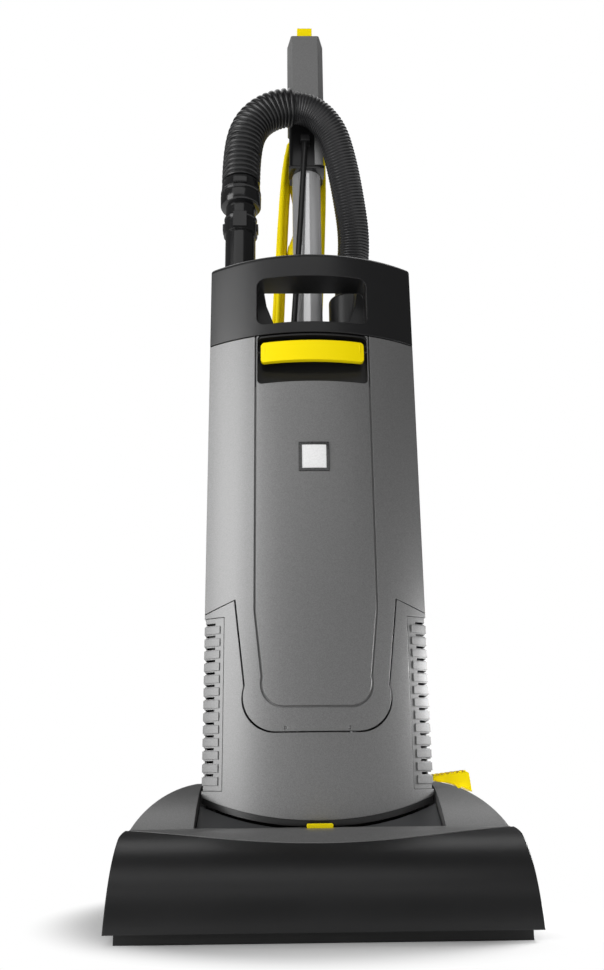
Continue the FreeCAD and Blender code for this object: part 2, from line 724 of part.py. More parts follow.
def make_lower_housing():
    shell = body_ring(0, WALL, 90, DOOR_SEAM_INNER_Z + 10)
    shell = shell.common(box(-HALF_WIDTH, HALF_WIDTH, -200, SPLIT_Y, 0, OVERALL_HEIGHT))
    shell = shell.cut(base_cut()).cut(front_prism(tongue(SEAM), -200, SPLIT_Y + 1))
    floor_z = base_plane_z(-20.0)
    floor = body_plan(WALL - 0.5, floor_z, floor_z + WALL).common(
        box(-HALF_WIDTH, HALF_WIDTH, -22, SPLIT_Y, 0, 500))
    slope = side_prism([
        (BODY_FRONT, base_plane_z(BODY_FRONT)), (-20, floor_z), (-20, floor_z + WALL),
        (BODY_FRONT, base_plane_z(BODY_FRONT) + WALL)], HALF_WIDTH)
    shell = shell.fuse(floor).fuse(slope.common(body_plan(WALL - 0.5, 0, 500)))
    zone = louvre_zone(LOUVRE_INNER_X, LOUVRE_BOTTOM, LOUVRE_TOP)
    for piece in both_sides(zone):
        shell = shell.cut(piece.common(body_ring(-1, WALL + 0.1, 0, 500)))
    x0 = HINGE_HALF - KNUCKLE
    reach = HINGE_PIN_R + KNUCKLE_WALL
    arm_y = DOOR_HINGE_Y + 14
    arm = rod(reach, (x0, DOOR_HINGE_Y, DOOR_HINGE_Z), X_AXIS, KNUCKLE)
    arm = arm.fuse(box(x0, HINGE_HALF, DOOR_HINGE_Y, arm_y, DOOR_HINGE_Z - 2.5, DOOR_HINGE_Z + 2.5))
    arm = arm.fuse(box(x0, HINGE_HALF, arm_y - 5, arm_y, base_plane_z(arm_y), DOOR_HINGE_Z + 2.5))
    arm = arm.cut(rod(HINGE_PIN_R, (x0, DOOR_HINGE_Y, DOOR_HINGE_Z), X_AXIS, KNUCKLE))
    step = TONGUE_HALF_LOW / RELIEF_STEPS
    for i in range(RELIEF_STEPS):
        swing = math.hypot(DOOR_HINGE_Y - body_front_y(step * i), DOOR_HINGE_Z - TONGUE_Z) + GAP
        for piece in both_sides(rod(swing, (step * i, DOOR_HINGE_Y, DOOR_HINGE_Z), X_AXIS, step)):
            shell = shell.cut(piece)
    for piece in both_sides(arm):
        shell = shell.fuse(piece)
    return shell.removeSplitter()


def make_louvre():
    zone = louvre_zone(LOUVRE_INNER_X + GAP, LOUVRE_BOTTOM + GAP, LOUVRE_TOP - GAP)
    frame = body_ring(1.6, WALL, 0, 500).common(zone)
    height = LOUVRE_TOP - LOUVRE_BOTTOM
    pitch = (height - 2 * LOUVRE_FRAME) / LOUVRE_COUNT
    grille = frame
    for i in range(LOUVRE_COUNT):
        z = LOUVRE_BOTTOM + LOUVRE_FRAME + pitch * i
        slot = box(LOUVRE_INNER_X + 2 * LOUVRE_FRAME, HALF_WIDTH, BODY_FRONT, SPLIT_Y - 16,
                   z + pitch * 0.76, z + pitch * 0.93)
        rib = body_ring(0.2, 2.0, 0, 500).common(box(
            LOUVRE_INNER_X + LOUVRE_FRAME, HALF_WIDTH, BODY_FRONT, SPLIT_Y - 14,
            z + pitch * 0.05, z + pitch * 0.68))
        grille = grille.fuse(rib).cut(slot)
    return grille.removeSplitter()


def make_base_seal():
    """Black lip under the body's lower edge."""
    band = body_ring(1.0, WALL + 1, 0, 400)
    slab = side_prism([
        (BODY_FRONT - 5, base_plane_z(BODY_FRONT - 5) - SEAL_DROP), (-31, base_plane_z(-31) - SEAL_DROP),
        (-31, base_plane_z(-31)), (BODY_FRONT - 5, base_plane_z(BODY_FRONT - 5))], HALF_WIDTH)
    return band.common(slab)


def make_back_shell():
    shell = body_ring(0, WALL, PIVOT_Z - 10, COVER_BOTTOM - SEAM)
    shell = shell.common(box(-HALF_WIDTH, HALF_WIDTH, SPLIT_Y + GAP, 200, 0, OVERALL_HEIGHT))
    floor = body_plan(WALL - 0.5, base_plane_z(-20), base_plane_z(-20) + WALL).common(
        box(-HALF_WIDTH, HALF_WIDTH, SPLIT_Y + GAP, 200, 0, 500))
    half = BODY_WIDTH / 2
    lug = rod(LUG_R, (half - 12, PIVOT_Y, PIVOT_Z), X_AXIS, 12)
    lug = lug.fuse(box(half - 12, half, SPLIT_Y + GAP, BODY_BACK - 4, PIVOT_Z, base_plane_z(-20) + 4))
    lug = lug.common(body_plan(0, 0, 400))
    shell = shell.fuse(floor)
    for piece in both_sides(lug):
        shell = shell.fuse(piece)
    bore = rod(TRUNNION_R - 4, (-HALF_WIDTH, PIVOT_Y, PIVOT_Z), X_AXIS, OVERALL_WIDTH)
    return shell.cut(bore).removeSplitter()


def make_trunnions():
    """Hollow pins in the body's lugs, turning in the shoulders' bearings."""
    half = BODY_WIDTH / 2
    pin = ring(TRUNNION_R, TRUNNION_R - 4 - GAP, (half + GAP, PIVOT_Y, PIVOT_Z), X_AXIS,
               TRUNNION_REACH - half - GAP)
    spigot = ring(TRUNNION_R - 4, TRUNNION_R - 7, (half - 12, PIVOT_Y, PIVOT_Z), X_AXIS,
                  TRUNNION_REACH - half + 8)
    return Part.makeCompound(both_sides(pin.fuse(spigot)))


def make_top_cover():
    block = body_plan(0, COVER_BOTTOM, COVER_TOP)
    rim = [e for e in block.Edges if e.BoundBox.ZMin > COVER_TOP - 0.1]
    block = block.makeFillet(COVER_EDGE_R, rim)
    hollow = body_plan(WALL, COVER_BOTTOM - 1, COVER_TOP - WALL - 1)
    front = BODY_FRONT - 10
    opening = box(-OPENING_HALF, OPENING_HALF, front, BAR_BACK + 1, OPENING_BOTTOM, OPENING_TOP)
    opening = rounded_y(opening, OPENING_CORNER_R)
    well = box(-WELL_HALF, WELL_HALF, BAR_BACK, BODY_BACK + 5, OPENING_BOTTOM + 3, COVER_TOP + 5)
    liner = box(-OPENING_HALF - WALL, OPENING_HALF + WALL, front, BAR_BACK + WALL,
                OPENING_BOTTOM - WALL, OPENING_TOP + WALL)
    liner = liner.fuse(box(-WELL_HALF - WALL, WELL_HALF + WALL, BAR_BACK - WALL, BODY_BACK,
                           OPENING_BOTTOM, COVER_TOP - WALL))
    cover = block.cut(hollow).fuse(liner.common(block)).cut(opening).cut(well)
    fin = front_prism([
        (FIN_FOOT_X, OPENING_BOTTOM - 1), (FIN_FOOT_X + 6, OPENING_BOTTOM + 9), (FIN_TOP_X, OPENING_TOP - 18),
        (FIN_TOP_X + 3, OPENING_TOP + 1), (OPENING_HALF + 1, OPENING_TOP + 1),
        (OPENING_HALF + 1, OPENING_BOTTOM - 1)], BAR_BACK - 1.5, BAR_BACK + 2)
    for piece in both_sides(fin):
        cover = cover.fuse(piece)
    wand_hole = rod(WAND_R + 2, (WAND_X, WAND_Y, COVER_TOP - 20), Z_AXIS, 40)
    cable_hole = rod(CABLE_D / 2 + 3, (*CABLE_ROUTE[-1][:2], COVER_BOTTOM), Z_AXIS, 30)
    return cover.cut(wand_hole).cut(cable_hole).removeSplitter()


def make_wand_holder():
    """Cup inside the body that the wand's lower end stands in."""
    top = COVER_BOTTOM - 6
    outer = WAND_R + 1 + 2.5
    cup = ring(outer, WAND_R + 1, (WAND_X, WAND_Y, WAND_BOTTOM - 4), Z_AXIS, top - WAND_BOTTOM + 4)
    floor = rod(outer, (WAND_X, WAND_Y, WAND_BOTTOM - 4), Z_AXIS, 3.5)
    web = box(WAND_X - 6, WAND_X + 6, WAND_Y + outer - 1, BODY_BACK - WALL, WAND_BOTTOM, top)
    return cup.fuse(floor).fuse(web)


def make_door():
    zone = front_prism(tongue(0), -200, SPLIT_Y - GAP)
    skin = body_ring(0, DOOR_THICK, 100, COVER_BOTTOM).common(zone)
    bed = front_prism(panel_outline(0), -200, 0).common(body_ring(-1, PANEL_THICK + 0.2, 100, COVER_BOTTOM))
    pocket = box(-POCKET_HALF - 2.5, POCKET_HALF + 2.5, -200, 0, POCKET_BOTTOM - 2.5, COVER_BOTTOM)
    skin = skin.cut(bed).cut(pocket)
    half = HINGE_HALF - KNUCKLE - GAP
    reach = HINGE_PIN_R + KNUCKLE_WALL
    barrel = rod(reach, (-half, DOOR_HINGE_Y, DOOR_HINGE_Z), X_AXIS, 2 * half)
    bore = rod(HINGE_PIN_R + 0.1, (-HINGE_HALF, DOOR_HINGE_Y, DOOR_HINGE_Z), X_AXIS, 2 * HINGE_HALF)
    door = skin.fuse(barrel).cut(bore)
    relief = rod(reach + GAP, (half, DOOR_HINGE_Y, DOOR_HINGE_Z), X_AXIS, KNUCKLE + 2 * GAP)
    for piece in both_sides(relief):
        door = door.cut(piece)
    return door.removeSplitter()


def make_centre_panel():
    zone = front_prism(panel_outline(SEAM), -200, 0)
    panel = body_ring(0, PANEL_THICK, 100, COVER_BOTTOM).common(zone)
    pocket = rounded_y(box(-POCKET_HALF, POCKET_HALF, -200, 0, POCKET_BOTTOM, COVER_BOTTOM), POCKET_CORNER_R)
    half = BADGE_SIZE / 2
    seat = box(-half, half, -200, 0, BADGE_Z - half, BADGE_Z + half)
    return softened(panel.cut(pocket), PANEL_THICK - 0.6).cut(seat)


def softened(shell, size):
    """Chamfers the outer rim of a panel lying in the body's front, seams included."""
    outer = []
    for edge in shell.Edges:
        x, y, z = edge.valueAt((edge.FirstParameter + edge.LastParameter) / 2)
        ends = [v.Point for v in edge.Vertexes] + [V(x, y, z)]
        on_skin = all(abs(p.y - body_front_y(p.x)) < 0.05 for p in ends)
        if on_skin and z < COVER_BOTTOM - 5 and not POCKET_BOTTOM - 12 < z:
            outer.append(edge)
    return shell.makeChamfer(size, outer)


def make_badge():
    half = BADGE_SIZE / 2 - 0.2
    slab = box(-half, half, -200, 0, BADGE_Z - half, BADGE_Z + half)
    badge = slab.common(body_ring(-BADGE_PROUD, PANEL_THICK, 400, 560))
    face = box(-half + 3, half - 3, -200, 0, BADGE_Z - half + 3, BADGE_Z + half - 3)
    return badge.cut(face.common(body_ring(-5, -BADGE_PROUD + 0.6, 400, 560)))


def make_latch_cup():
    wall = 2.2
    block = box(-POCKET_HALF - wall, POCKET_HALF + wall, BODY_FRONT, POCKET_BACK + wall,
                POCKET_BOTTOM - wall, POCKET_TOP + wall)
    block = block.common(body_plan(PANEL_THICK + 0.2, 400, 700))
    pocket = rounded_y(
        box(-POCKET_HALF, POCKET_HALF, BODY_FRONT - 5, POCKET_BACK, POCKET_BOTTOM, POCKET_TOP), POCKET_CORNER_R)
    pin_hole = rod(LATCH_PIN_R, (-100, LATCH_PIVOT_Y, LATCH_PIVOT_Z), X_AXIS, 200)
    pin = rod(LATCH_PIN_R, (-POCKET_HALF - wall, LATCH_PIVOT_Y, LATCH_PIVOT_Z), X_AXIS,
              2 * (POCKET_HALF + wall))
    return block.cut(pocket).cut(pin_hole).fuse(pin)


def make_latch():
    plate = body_ring(0.6, LATCH_THICK, 400, 700).common(
        rounded_y(box(-LATCH_HALF, LATCH_HALF, -200, 0, LATCH_BOTTOM, LATCH_TOP), LATCH_CORNER_R))
    lug = box(48, 56, LATCH_PIVOT_Y - 10, LATCH_PIVOT_Y + 4.5, LATCH_PIVOT_Z - 5, LATCH_PIVOT_Z + 5)
    latch = plate
    for piece in both_sides(lug):
        latch = latch.fuse(piece)
    return latch.cut(rod(LATCH_PIN_R + RUN_FIT, (-100, LATCH_PIVOT_Y, LATCH_PIVOT_Z), X_AXIS, 200))


def make_hinge_pin():
    return rod(HINGE_PIN_R, (-HINGE_HALF, DOOR_HINGE_Y, DOOR_HINGE_Z), X_AXIS, 2 * HINGE_HALF)


# Inside the body -----------------------------------------------------------------------
def make_suction_motor():
    can = rod(50, (0, SUCTION_Y, 160), Z_AXIS, 78)
    fan = rod(57, (0, SUCTION_Y, 238), Z_AXIS, 44)
    eye = rod(18, (0, SUCTION_Y, 260), Z_AXIS, 30)
    return can.fuse(fan).cut(eye)


def make_motor_shelf():
    shelf = body_plan(WALL + 2, 284, 288).common(box(-HALF_WIDTH, HALF_WIDTH, -200, SPLIT_Y + 50, 0, 500))
    foot = ring(46, 30, (0, SUCTION_Y, base_plane_z(-20) + WALL + GAP), Z_AXIS, 160 - base_plane_z(-20) - WALL - GAP)
    shelf = shelf.cut(rod(18, (0, SUCTION_Y, 280), Z_AXIS, 20))
    shelf = shelf.cut(rod(20, (DUCT_X, DUCT_Y, 280), Z_AXIS, 20))
    return Part.makeCompound([shelf, foot])


def make_dust_duct():
    """Air path from the right trunnion up to the bag port."""
    start_z = base_plane_z(-20) + WALL + GAP
    riser = ring(DUCT_R, DUCT_R - 2, (DUCT_X, DUCT_Y, start_z), Z_AXIS, 575 - start_z)
    cross = ring(DUCT_R, DUCT_R - 2, (20, DUCT_Y, 575), X_AXIS, DUCT_X - 20)
    core = rod(DUCT_R - 2, (DUCT_X, DUCT_Y, start_z), Z_AXIS, 575 - start_z)
    corner = Part.makeSphere(DUCT_R, V(DUCT_X, DUCT_Y, 575)).cut(Part.makeSphere(DUCT_R - 2, V(DUCT_X, DUCT_Y, 575)))
    bore = rod(DUCT_R - 2, (20, DUCT_Y, 575), X_AXIS, DUCT_X - 20)
    return riser.fuse(cross).fuse(corner).cut(core).cut(bore).removeSplitter()


def make_bag_port():
    plate = box(-20, 19.5, DUCT_Y - 22, DUCT_Y + 22, 554, 596)
    return plate.cut(rod(DUCT_R - 2, (-25, DUCT_Y, 575), X_AXIS, 60))


def make_filter_bag():
    bag = box(-60, 60, -60, 50, 300, 545)
    return bag.makeFillet(22, [e for e in bag.Edges if e.BoundBox.ZLength > 100])


def make_exhaust_filters():
    pad = box(70, 112, -25, 0, 140, 280)
    return Part.makeCompound(both_sides(pad))


# Handle --------------------------------------------------------------------------------
def make_handle_tube():
    return ring(TUBE_R, TUBE_R - TUBE_WALL, (0, TUBE_Y, TUBE_BOTTOM), Z_AXIS, TUBE_TOP - TUBE_BOTTOM)


def make_tube_clamps():
    half = TUBE_R + CLAMP_WALL
    clamps = []
    for z in (CLAMP_LOW_Z, CLAMP_HIGH_Z):
        top = z + CLAMP_HEIGHT
        block = box(-half, half, BODY_BACK + 0.3, TUBE_Y + TUBE_R + 4, z, top)
        block = block.cut(rod(TUBE_R, (0, TUBE_Y, z - 1), Z_AXIS, CLAMP_HEIGHT + 2))
        clamps.append(block)
    tie = box(-half, 4 - half, BODY_BACK + 0.3, TUBE_Y, CLAMP_LOW_Z, CLAMP_HIGH_Z + 5)
    return clamps[0].fuse(clamps[1]).fuse(tie).removeSplitter()


def grip_top_z(y):
    return GRIP_TOP_FRONT + (GRIP_TOP_BACK - GRIP_TOP_FRONT) * (y - GRIP_FRONT) / (GRIP_BACK - GRIP_FRONT)


def grip_column(y0, y1):
    """The faceted upright part of the grip between two depths."""
    facet = 9.0
    plan = extrude([
        V(-GRIP_FACET_HALF, GRIP_FRONT, GRIP_BOTTOM), V(GRIP_FACET_HALF, GRIP_FRONT, GRIP_BOTTOM),
        V(GRIP_HALF, GRIP_FRONT + facet, GRIP_BOTTOM), V(GRIP_HALF, GRIP_BACK - 4, GRIP_BOTTOM),
        V(GRIP_HALF - 4, GRIP_BACK, GRIP_BOTTOM), V(-GRIP_HALF + 4, GRIP_BACK, GRIP_BOTTOM),
        V(-GRIP_HALF, GRIP_BACK - 4, GRIP_BOTTOM), V(-GRIP_HALF, GRIP_FRONT + facet, GRIP_BOTTOM),
    ], Z_AXIS * 200)
    side = side_prism([(y0, 1000), (y0, grip_top_z(y0)), (y1, grip_top_z(y1)), (y1, 1000)], GRIP_HALF + 1)
    shoulder = 14.0
    front = front_prism([
        (-GRIP_HALF, GRIP_BOTTOM), (-GRIP_HALF, GRIP_TOP_FRONT - shoulder), (-13, GRIP_TOP_BACK + 1),
        (13, GRIP_TOP_BACK + 1), (GRIP_HALF, GRIP_TOP_FRONT - shoulder), (GRIP_HALF, GRIP_BOTTOM)],
        y0 - 5, y1 + 5)
    return plan.common(side).common(front)


def tube_hole():
    return rod(TUBE_R, (0, TUBE_Y, GRIP_BOTTOM - 100), Z_AXIS, TUBE_TOP + 0.5 - GRIP_BOTTOM + 100)


def button_well():
    return box(-BUTTON_HALF - GAP, BUTTON_HALF + GAP, 88 - GAP, 108 + GAP,
               BUTTON_BOTTOM - BUTTON_TRAVEL - GAP, OVERALL_HEIGHT)


def make_grip_front():
    return grip_column(GRIP_FRONT, GRIP_SPLIT).cut(tube_hole()).cut(button_well())


def make_grip_loop():
    """Rear half of the grip with the D-shaped hand loop."""
    column = grip_column(GRIP_SPLIT + GAP, GRIP_BACK)
    back = OVERALL_DEPTH / 2 - 1
    loop = side_prism([
        (GRIP_BACK - 6, 1072), (140, 1080), (back - 6, 1096), (back, 1114), (back, 1150),
        (back - 10, 1176), (140, 1196), (GRIP_BACK - 6, grip_top_z(GRIP_BACK - 6) - 2)], LOOP_HALF)
    hole = side_prism([
        (GRIP_BACK + 2, 1096), (136, 1100), (145, 1112), (145, 1150), (136, 1166),
        (GRIP_BACK + 2, 1174)], 60)
    long_edges = [e for e in loop.Edges if abs(e.BoundBox.XLength) < 0.1 and e.BoundBox.YMax > GRIP_BACK]
    loop = loop.makeFillet(5, long_edges)
    return column.fuse(loop).cut(hole).cut(tube_hole()).cut(button_well()).removeSplitter()


def make_switch_button():
    return box(-BUTTON_HALF, BUTTON_HALF, 88, 108, BUTTON_BOTTOM, OVERALL_HEIGHT)


def make_grip_collar():
    top = GRIP_BOTTOM - 0.3
    block = box(-COLLAR_HALF, COLLAR_HALF, GRIP_FRONT + 0.5, GRIP_BACK, COLLAR_BOTTOM, top)
    upright = [e for e in block.Edges if e.BoundBox.ZLength > 50]
    block = block.makeFillet(6, upright)
    gland = box(-8, 5, CABLE_ROUTE[0][1] - 6, GRIP_FRONT + 2, CABLE_ROUTE[0][2], CABLE_ROUTE[0][2] + 10)
    return block.fuse(gland).cut(rod(TUBE_R, (0, TUBE_Y, COLLAR_BOTTOM - 1), Z_AXIS, 200))


def leaning(shape):
    return shape.rotated(V(CORD_X, 0, HANK_TOP - HANK_OUTER_R), Y_AXIS, HANK_LEAN)


def hank_low_centre():
    """Centre of the hank's lower bend after it leans."""
    drop = HANK_TOP - HANK_BOTTOM - 2 * HANK_OUTER_R
    angle = math.radians(HANK_LEAN)
    return CORD_X - drop * math.sin(angle), HANK_TOP - HANK_OUTER_R - drop * math.cos(angle)


def stadium(radius, y0, y1):
    low = HANK_BOTTOM + HANK_OUTER_R
    high = HANK_TOP - HANK_OUTER_R
    return front_prism([
        (CORD_X - radius, high), ((CORD_X, high + radius), (CORD_X + radius, high)),
        (CORD_X + radius, low), ((CORD_X, low - radius), (CORD_X - radius, low))], y0, y1)


def make_hank():
    y0 = HANK_CENTRE_Y - HANK_DEPTH / 2
    y1 = HANK_CENTRE_Y + HANK_DEPTH / 2
    return leaning(stadium(HANK_OUTER_R, y0, y1).cut(stadium(HANK_OUTER_R - HANK_LEG, y0 - 1, y1 + 1)))


def make_upper_hook():
    high = HANK_TOP - HANK_OUTER_R
    end = HANK_CENTRE_Y + HANK_DEPTH / 2 + HOOK_PLAY
    arm = rod(HOOK_R, (CORD_X, GRIP_BACK + 0.3, high), Y_AXIS, end - GRIP_BACK + 1)
    arm = arm.common(box(-60, 60, 0, 300, high + 2, high + 60))
    lip = rod(HOOK_R + 9, (CORD_X, end, high), Y_AXIS, HOOK_LIP)
    lip = lip.common(box(-60, 60, 0, 300, high + 2, high + 60))
    return arm.fuse(lip)


def make_lower_hook():
    x, low = hank_low_centre()
    end = HANK_CENTRE_Y + HANK_DEPTH / 2 + HOOK_PLAY
    arm = rod(HOOK_R, (x, BODY_BACK + 0.3, low), Y_AXIS, end - BODY_BACK + 1)
    arm = arm.common(box(-90, 60, 0, 300, low - 60, low - 2))
    lip = rod(HOOK_R + 9, (x, end, low), Y_AXIS, HOOK_LIP)
    lip = lip.common(box(-90, 60, 0, 300, low - 60, low - 2))
    return arm.fuse(lip)


def make_strain_relief():
    x, y, z = LEAD_ROUTE[0]
    cone = Part.makeCone(CORD_D / 2 + 1.5, CORD_D / 2 + 4, 34, V(x, y, z), Z_AXIS)
    block = box(x - 9, x + 9, GRIP_BACK + 0.2, y + 9, z + 30, z + 46)
    return cone.fuse(block)


def make_plug():
    cone = Part.makeCone(PLUG_R - 4, CORD_D / 2 + 2, 29, V(PLUG_X, PLUG_Y, PLUG_TOP - 29), Z_AXIS)
    body = rod(PLUG_R, (PLUG_X, PLUG_Y, PLUG_TOP - 66), Z_AXIS, 38)
    body = body.makeFillet(2.5, [e for e in body.Edges if e.BoundBox.ZLength < 0.1])
    plug = cone.fuse(body)
    for side in (-1, 1):
        pin = rod(2.4, (PLUG_X + side * 9.5, PLUG_Y, PLUG_TOP - 85), Z_AXIS, 20)
        plug = plug.fuse(pin)
    return plug


# Wand and hose -------------------------------------------------------------------------
def make_wand():
    tube = ring(WAND_R, WAND_R - WAND_WALL, (WAND_X, WAND_Y, WAND_BOTTOM), Z_AXIS,
                CUFF_BOTTOM - GAP - WAND_BOTTOM)
    socket = ring(WAND_R + 2.4, WAND_R - WAND_WALL, (WAND_X, WAND_Y, 826), Z_AXIS, 16)
    clip = box(WAND_X - 9, WAND_X + 9, WAND_Y - WAND_R - 5, WAND_Y - WAND_R + 1, 828, 850)
    return tube.fuse(socket).fuse(clip)


def make_cuff():
    cuff = ring(CUFF_R, WAND_R - WAND_WALL, (WAND_X, WAND_Y, CUFF_BOTTOM), Z_AXIS, CUFF_TOP - CUFF_BOTTOM)
    socket = rod(HOSE_R + GAP, (WAND_X, WAND_Y, HOSE_ROUTE[0][2] - GAP), Z_AXIS, 60)
    return cuff.cut(socket)


def make_sleeve():
    """Slotted sleeve that keeps the hose from kinking, over its first bend."""
    outer = swept(HOSE_ROUTE, SLEEVE_R, "sleeve").cut(swept(HOSE_ROUTE, HOSE_R + GAP, "sleeve bore"))
    return outer.common(box(-HALF_WIDTH, SLEEVE_END_X, -100, 150, CUFF_TOP + GAP, OVERALL_HEIGHT))


def make_port():
    """Hose connector on the back of the body."""
    stub = rod(PORT_R, (PORT_X, PORT_Y, 690), Z_AXIS, PORT_TOP - 690)
    top_edge = [e for e in stub.Edges if e.BoundBox.ZMin > PORT_TOP - 0.1]
    stub = stub.makeFillet(5, top_edge)
    block = box(PORT_X - 26, PORT_X + 26, BODY_BACK + 0.3, PORT_Y, 600, 690)
    elbow = Part.makeSphere(PORT_R, V(PORT_X, PORT_Y, 690))
    port = stub.fuse(elbow).fuse(block)
    port = port.cut(box(-100, 200, -100, BODY_BACK + 0.3, 0, 900))
    port = port.cut(rod(TUBE_R + 3, (0, TUBE_Y, 500), Z_AXIS, 400))
    port = port.cut(box(-40, 26.5, 60, 120, 600, 720))
    bore = rod(HOSE_R + 1.6, (PORT_X, PORT_Y, HOSE_ROUTE[-1][2] - GAP - 1.6), Z_AXIS, 60)
    return port.cut(bore).removeSplitter()


def make_screws():
    """Four screws that hold the sole plate up to the base."""
    screws = []
    for x in (-140, 140):
        for y in (MOUTH_BACK + 20, MOUTH_BACK + 50):
            screws.append(rod(3, (x, y, SOLE_THICK), Z_AXIS, 12))
    return Part.makeCompound(screws)


def build():
    core, bristles = make_brush()
    pulley = make_pulley(BRUSH_PULLEY_R, BRUSH_Y, BRUSH_Z, BRUSH_SHAFT_R)
    tyre, hub = make_wheel()
    tail = swept(TAIL_ROUTE, CORD_D / 2, "cord tail")
    lead = swept(LEAD_ROUTE, CORD_D / 2, "cord lead")
    hank = make_hank()
    screws = make_screws()
    louvre = make_louvre()
    base = make_head_base()
    return {
        "sole_plate": make_sole_plate(),
        "head_base": base.cut(screws),
        "head_housing": make_head_housing().cut(release_slot()),
        "neck_panel": make_neck_panel().cut(release_slot()),
        "brush_cover": make_brush_cover().cut(release_slot()),
        "brush_motor": make_brush_motor(),
        "drive_belt": make_belt(),
        "wheel_axle": make_axle(),
        "sole_screws": screws,
        "brush_bearings": make_bearings(),
        "pedal_spring": make_pedal_spring(),
        "brush_core": core,
        "brush_bristles": bristles,
        "brush_pulley": pulley,
        "motor_rotor": make_motor_rotor(),
        "wheel_right_tyre": tyre,
        "wheel_right_hub": hub,
        "wheel_left_tyre": mirrored(tyre),
        "wheel_left_hub": mirrored(hub),
        "recline_pedal": make_pedal(),
        "release_button": make_release_button(),
        "lower_housing": make_lower_housing(),
        "louvre_right": louvre,
        "louvre_left": mirrored(louvre),
        "base_seal": make_base_seal(),
        "back_shell": make_back_shell(),
        "trunnions": make_trunnions(),
        "top_cover": make_top_cover(),
        "wand_holder": make_wand_holder(),
        "hose_port": make_port(),
        "suction_motor": make_suction_motor(),
        "motor_shelf": make_motor_shelf(),
        "dust_duct": make_dust_duct(),
        "bag_port": make_bag_port(),
        "filter_bag": make_filter_bag(),
        "exhaust_filters": make_exhaust_filters(),
        "handle_tube": make_handle_tube(),
        "tube_clamps": make_tube_clamps(),
        "grip_collar": make_grip_collar(),
        "grip_front": make_grip_front(),
        "grip_loop": make_grip_loop(),
        "cord_hook_upper": make_upper_hook(),
        "cord_hook_lower": make_lower_hook(),
        "strain_relief": make_strain_relief(),
        "cord_hank": hank,
        "cord_lead": lead.cut(hank),
        "cord_tail": tail.cut(hank),
        "plug": make_plug(),
        "switch_cable": swept(CABLE_ROUTE, CABLE_D / 2, "switch cable"),
        "suction_hose": swept(HOSE_ROUTE, HOSE_R, "hose"),
        "antikink_sleeve": make_sleeve(),
        "switch_button": make_switch_button(),
        "bag_door": make_door(),
        "centre_panel": make_centre_panel(),
        "badge": make_badge(),
        "latch_cup": make_latch_cup(),
        "door_hinge_pin": make_hinge_pin(),
        "door_latch": make_latch(),
        "wand_tube": make_wand(),
        "hose_cuff": make_cuff(),
    }


os.makedirs("parts", exist_ok=True)
for name, shape in build().items():
    shape.exportStep(f"parts/{name}.step")
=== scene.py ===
"""An upright vacuum cleaner for carpets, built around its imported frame.

Every sub-assembly is a class. It holds its sizes in metres, builds its pieces and
dresses them. Every finish is a small frozen dataclass that makes one material.
"""

import json
import logging
import math
from dataclasses import dataclass
from typing import Callable

import bmesh
import bpy
from mathutils import Euler, Matrix, Vector


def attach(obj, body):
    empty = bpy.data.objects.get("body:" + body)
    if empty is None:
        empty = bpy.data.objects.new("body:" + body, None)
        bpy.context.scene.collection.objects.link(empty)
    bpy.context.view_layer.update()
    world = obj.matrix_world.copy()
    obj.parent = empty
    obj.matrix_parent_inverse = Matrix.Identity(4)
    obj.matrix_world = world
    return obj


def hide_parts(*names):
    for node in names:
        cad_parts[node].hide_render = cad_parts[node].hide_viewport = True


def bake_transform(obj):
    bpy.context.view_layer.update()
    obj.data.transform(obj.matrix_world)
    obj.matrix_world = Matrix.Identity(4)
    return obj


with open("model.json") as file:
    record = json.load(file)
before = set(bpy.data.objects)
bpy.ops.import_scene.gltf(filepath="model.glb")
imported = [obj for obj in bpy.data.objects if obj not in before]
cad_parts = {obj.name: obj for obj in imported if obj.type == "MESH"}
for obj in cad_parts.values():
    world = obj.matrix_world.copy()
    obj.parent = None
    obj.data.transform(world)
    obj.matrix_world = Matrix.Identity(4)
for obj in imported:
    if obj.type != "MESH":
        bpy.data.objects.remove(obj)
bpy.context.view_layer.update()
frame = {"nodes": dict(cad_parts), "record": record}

LOG = logging.getLogger("vacuum")
Point = tuple[float, float, float]
Colour = tuple[float, float, float]


# Shader maths ----------------------------------------------------------------------------
class Value:
    """One socket of a node tree that can be used in Python expressions."""

    def __init__(self, tree: "Tree", socket: bpy.types.NodeSocket) -> None:
        """Wraps a socket.

        Args:
            tree: the tree that the socket's node is in.
            socket: an output socket.
        """
        self.tree = tree
        self.socket = socket

    def _math(self, operation: str, a: object, b: object) -> "Value":
        """Adds one Math node and returns its result."""
        return self.tree.node("ShaderNodeMath", {"operation": operation}, {0: a, 1: b})

    def __add__(self, other: object) -> "Value":
        """Sum."""
        return self._math("ADD", self, other)

    def __radd__(self, other: object) -> "Value":
        """Sum, reflected."""
        return self._math("ADD", other, self)

    def __sub__(self, other: object) -> "Value":
        """Difference."""
        return self._math("SUBTRACT", self, other)

    def __rsub__(self, other: object) -> "Value":
        """Difference, reflected."""
        return self._math("SUBTRACT", other, self)

    def __mul__(self, other: object) -> "Value":
        """Product."""
        return self._math("MULTIPLY", self, other)

    def __rmul__(self, other: object) -> "Value":
        """Product, reflected."""
        return self._math("MULTIPLY", other, self)

    def __gt__(self, other: object) -> "Value":
        """One where this value is greater, otherwise nought."""
        return self._math("GREATER_THAN", self, other)


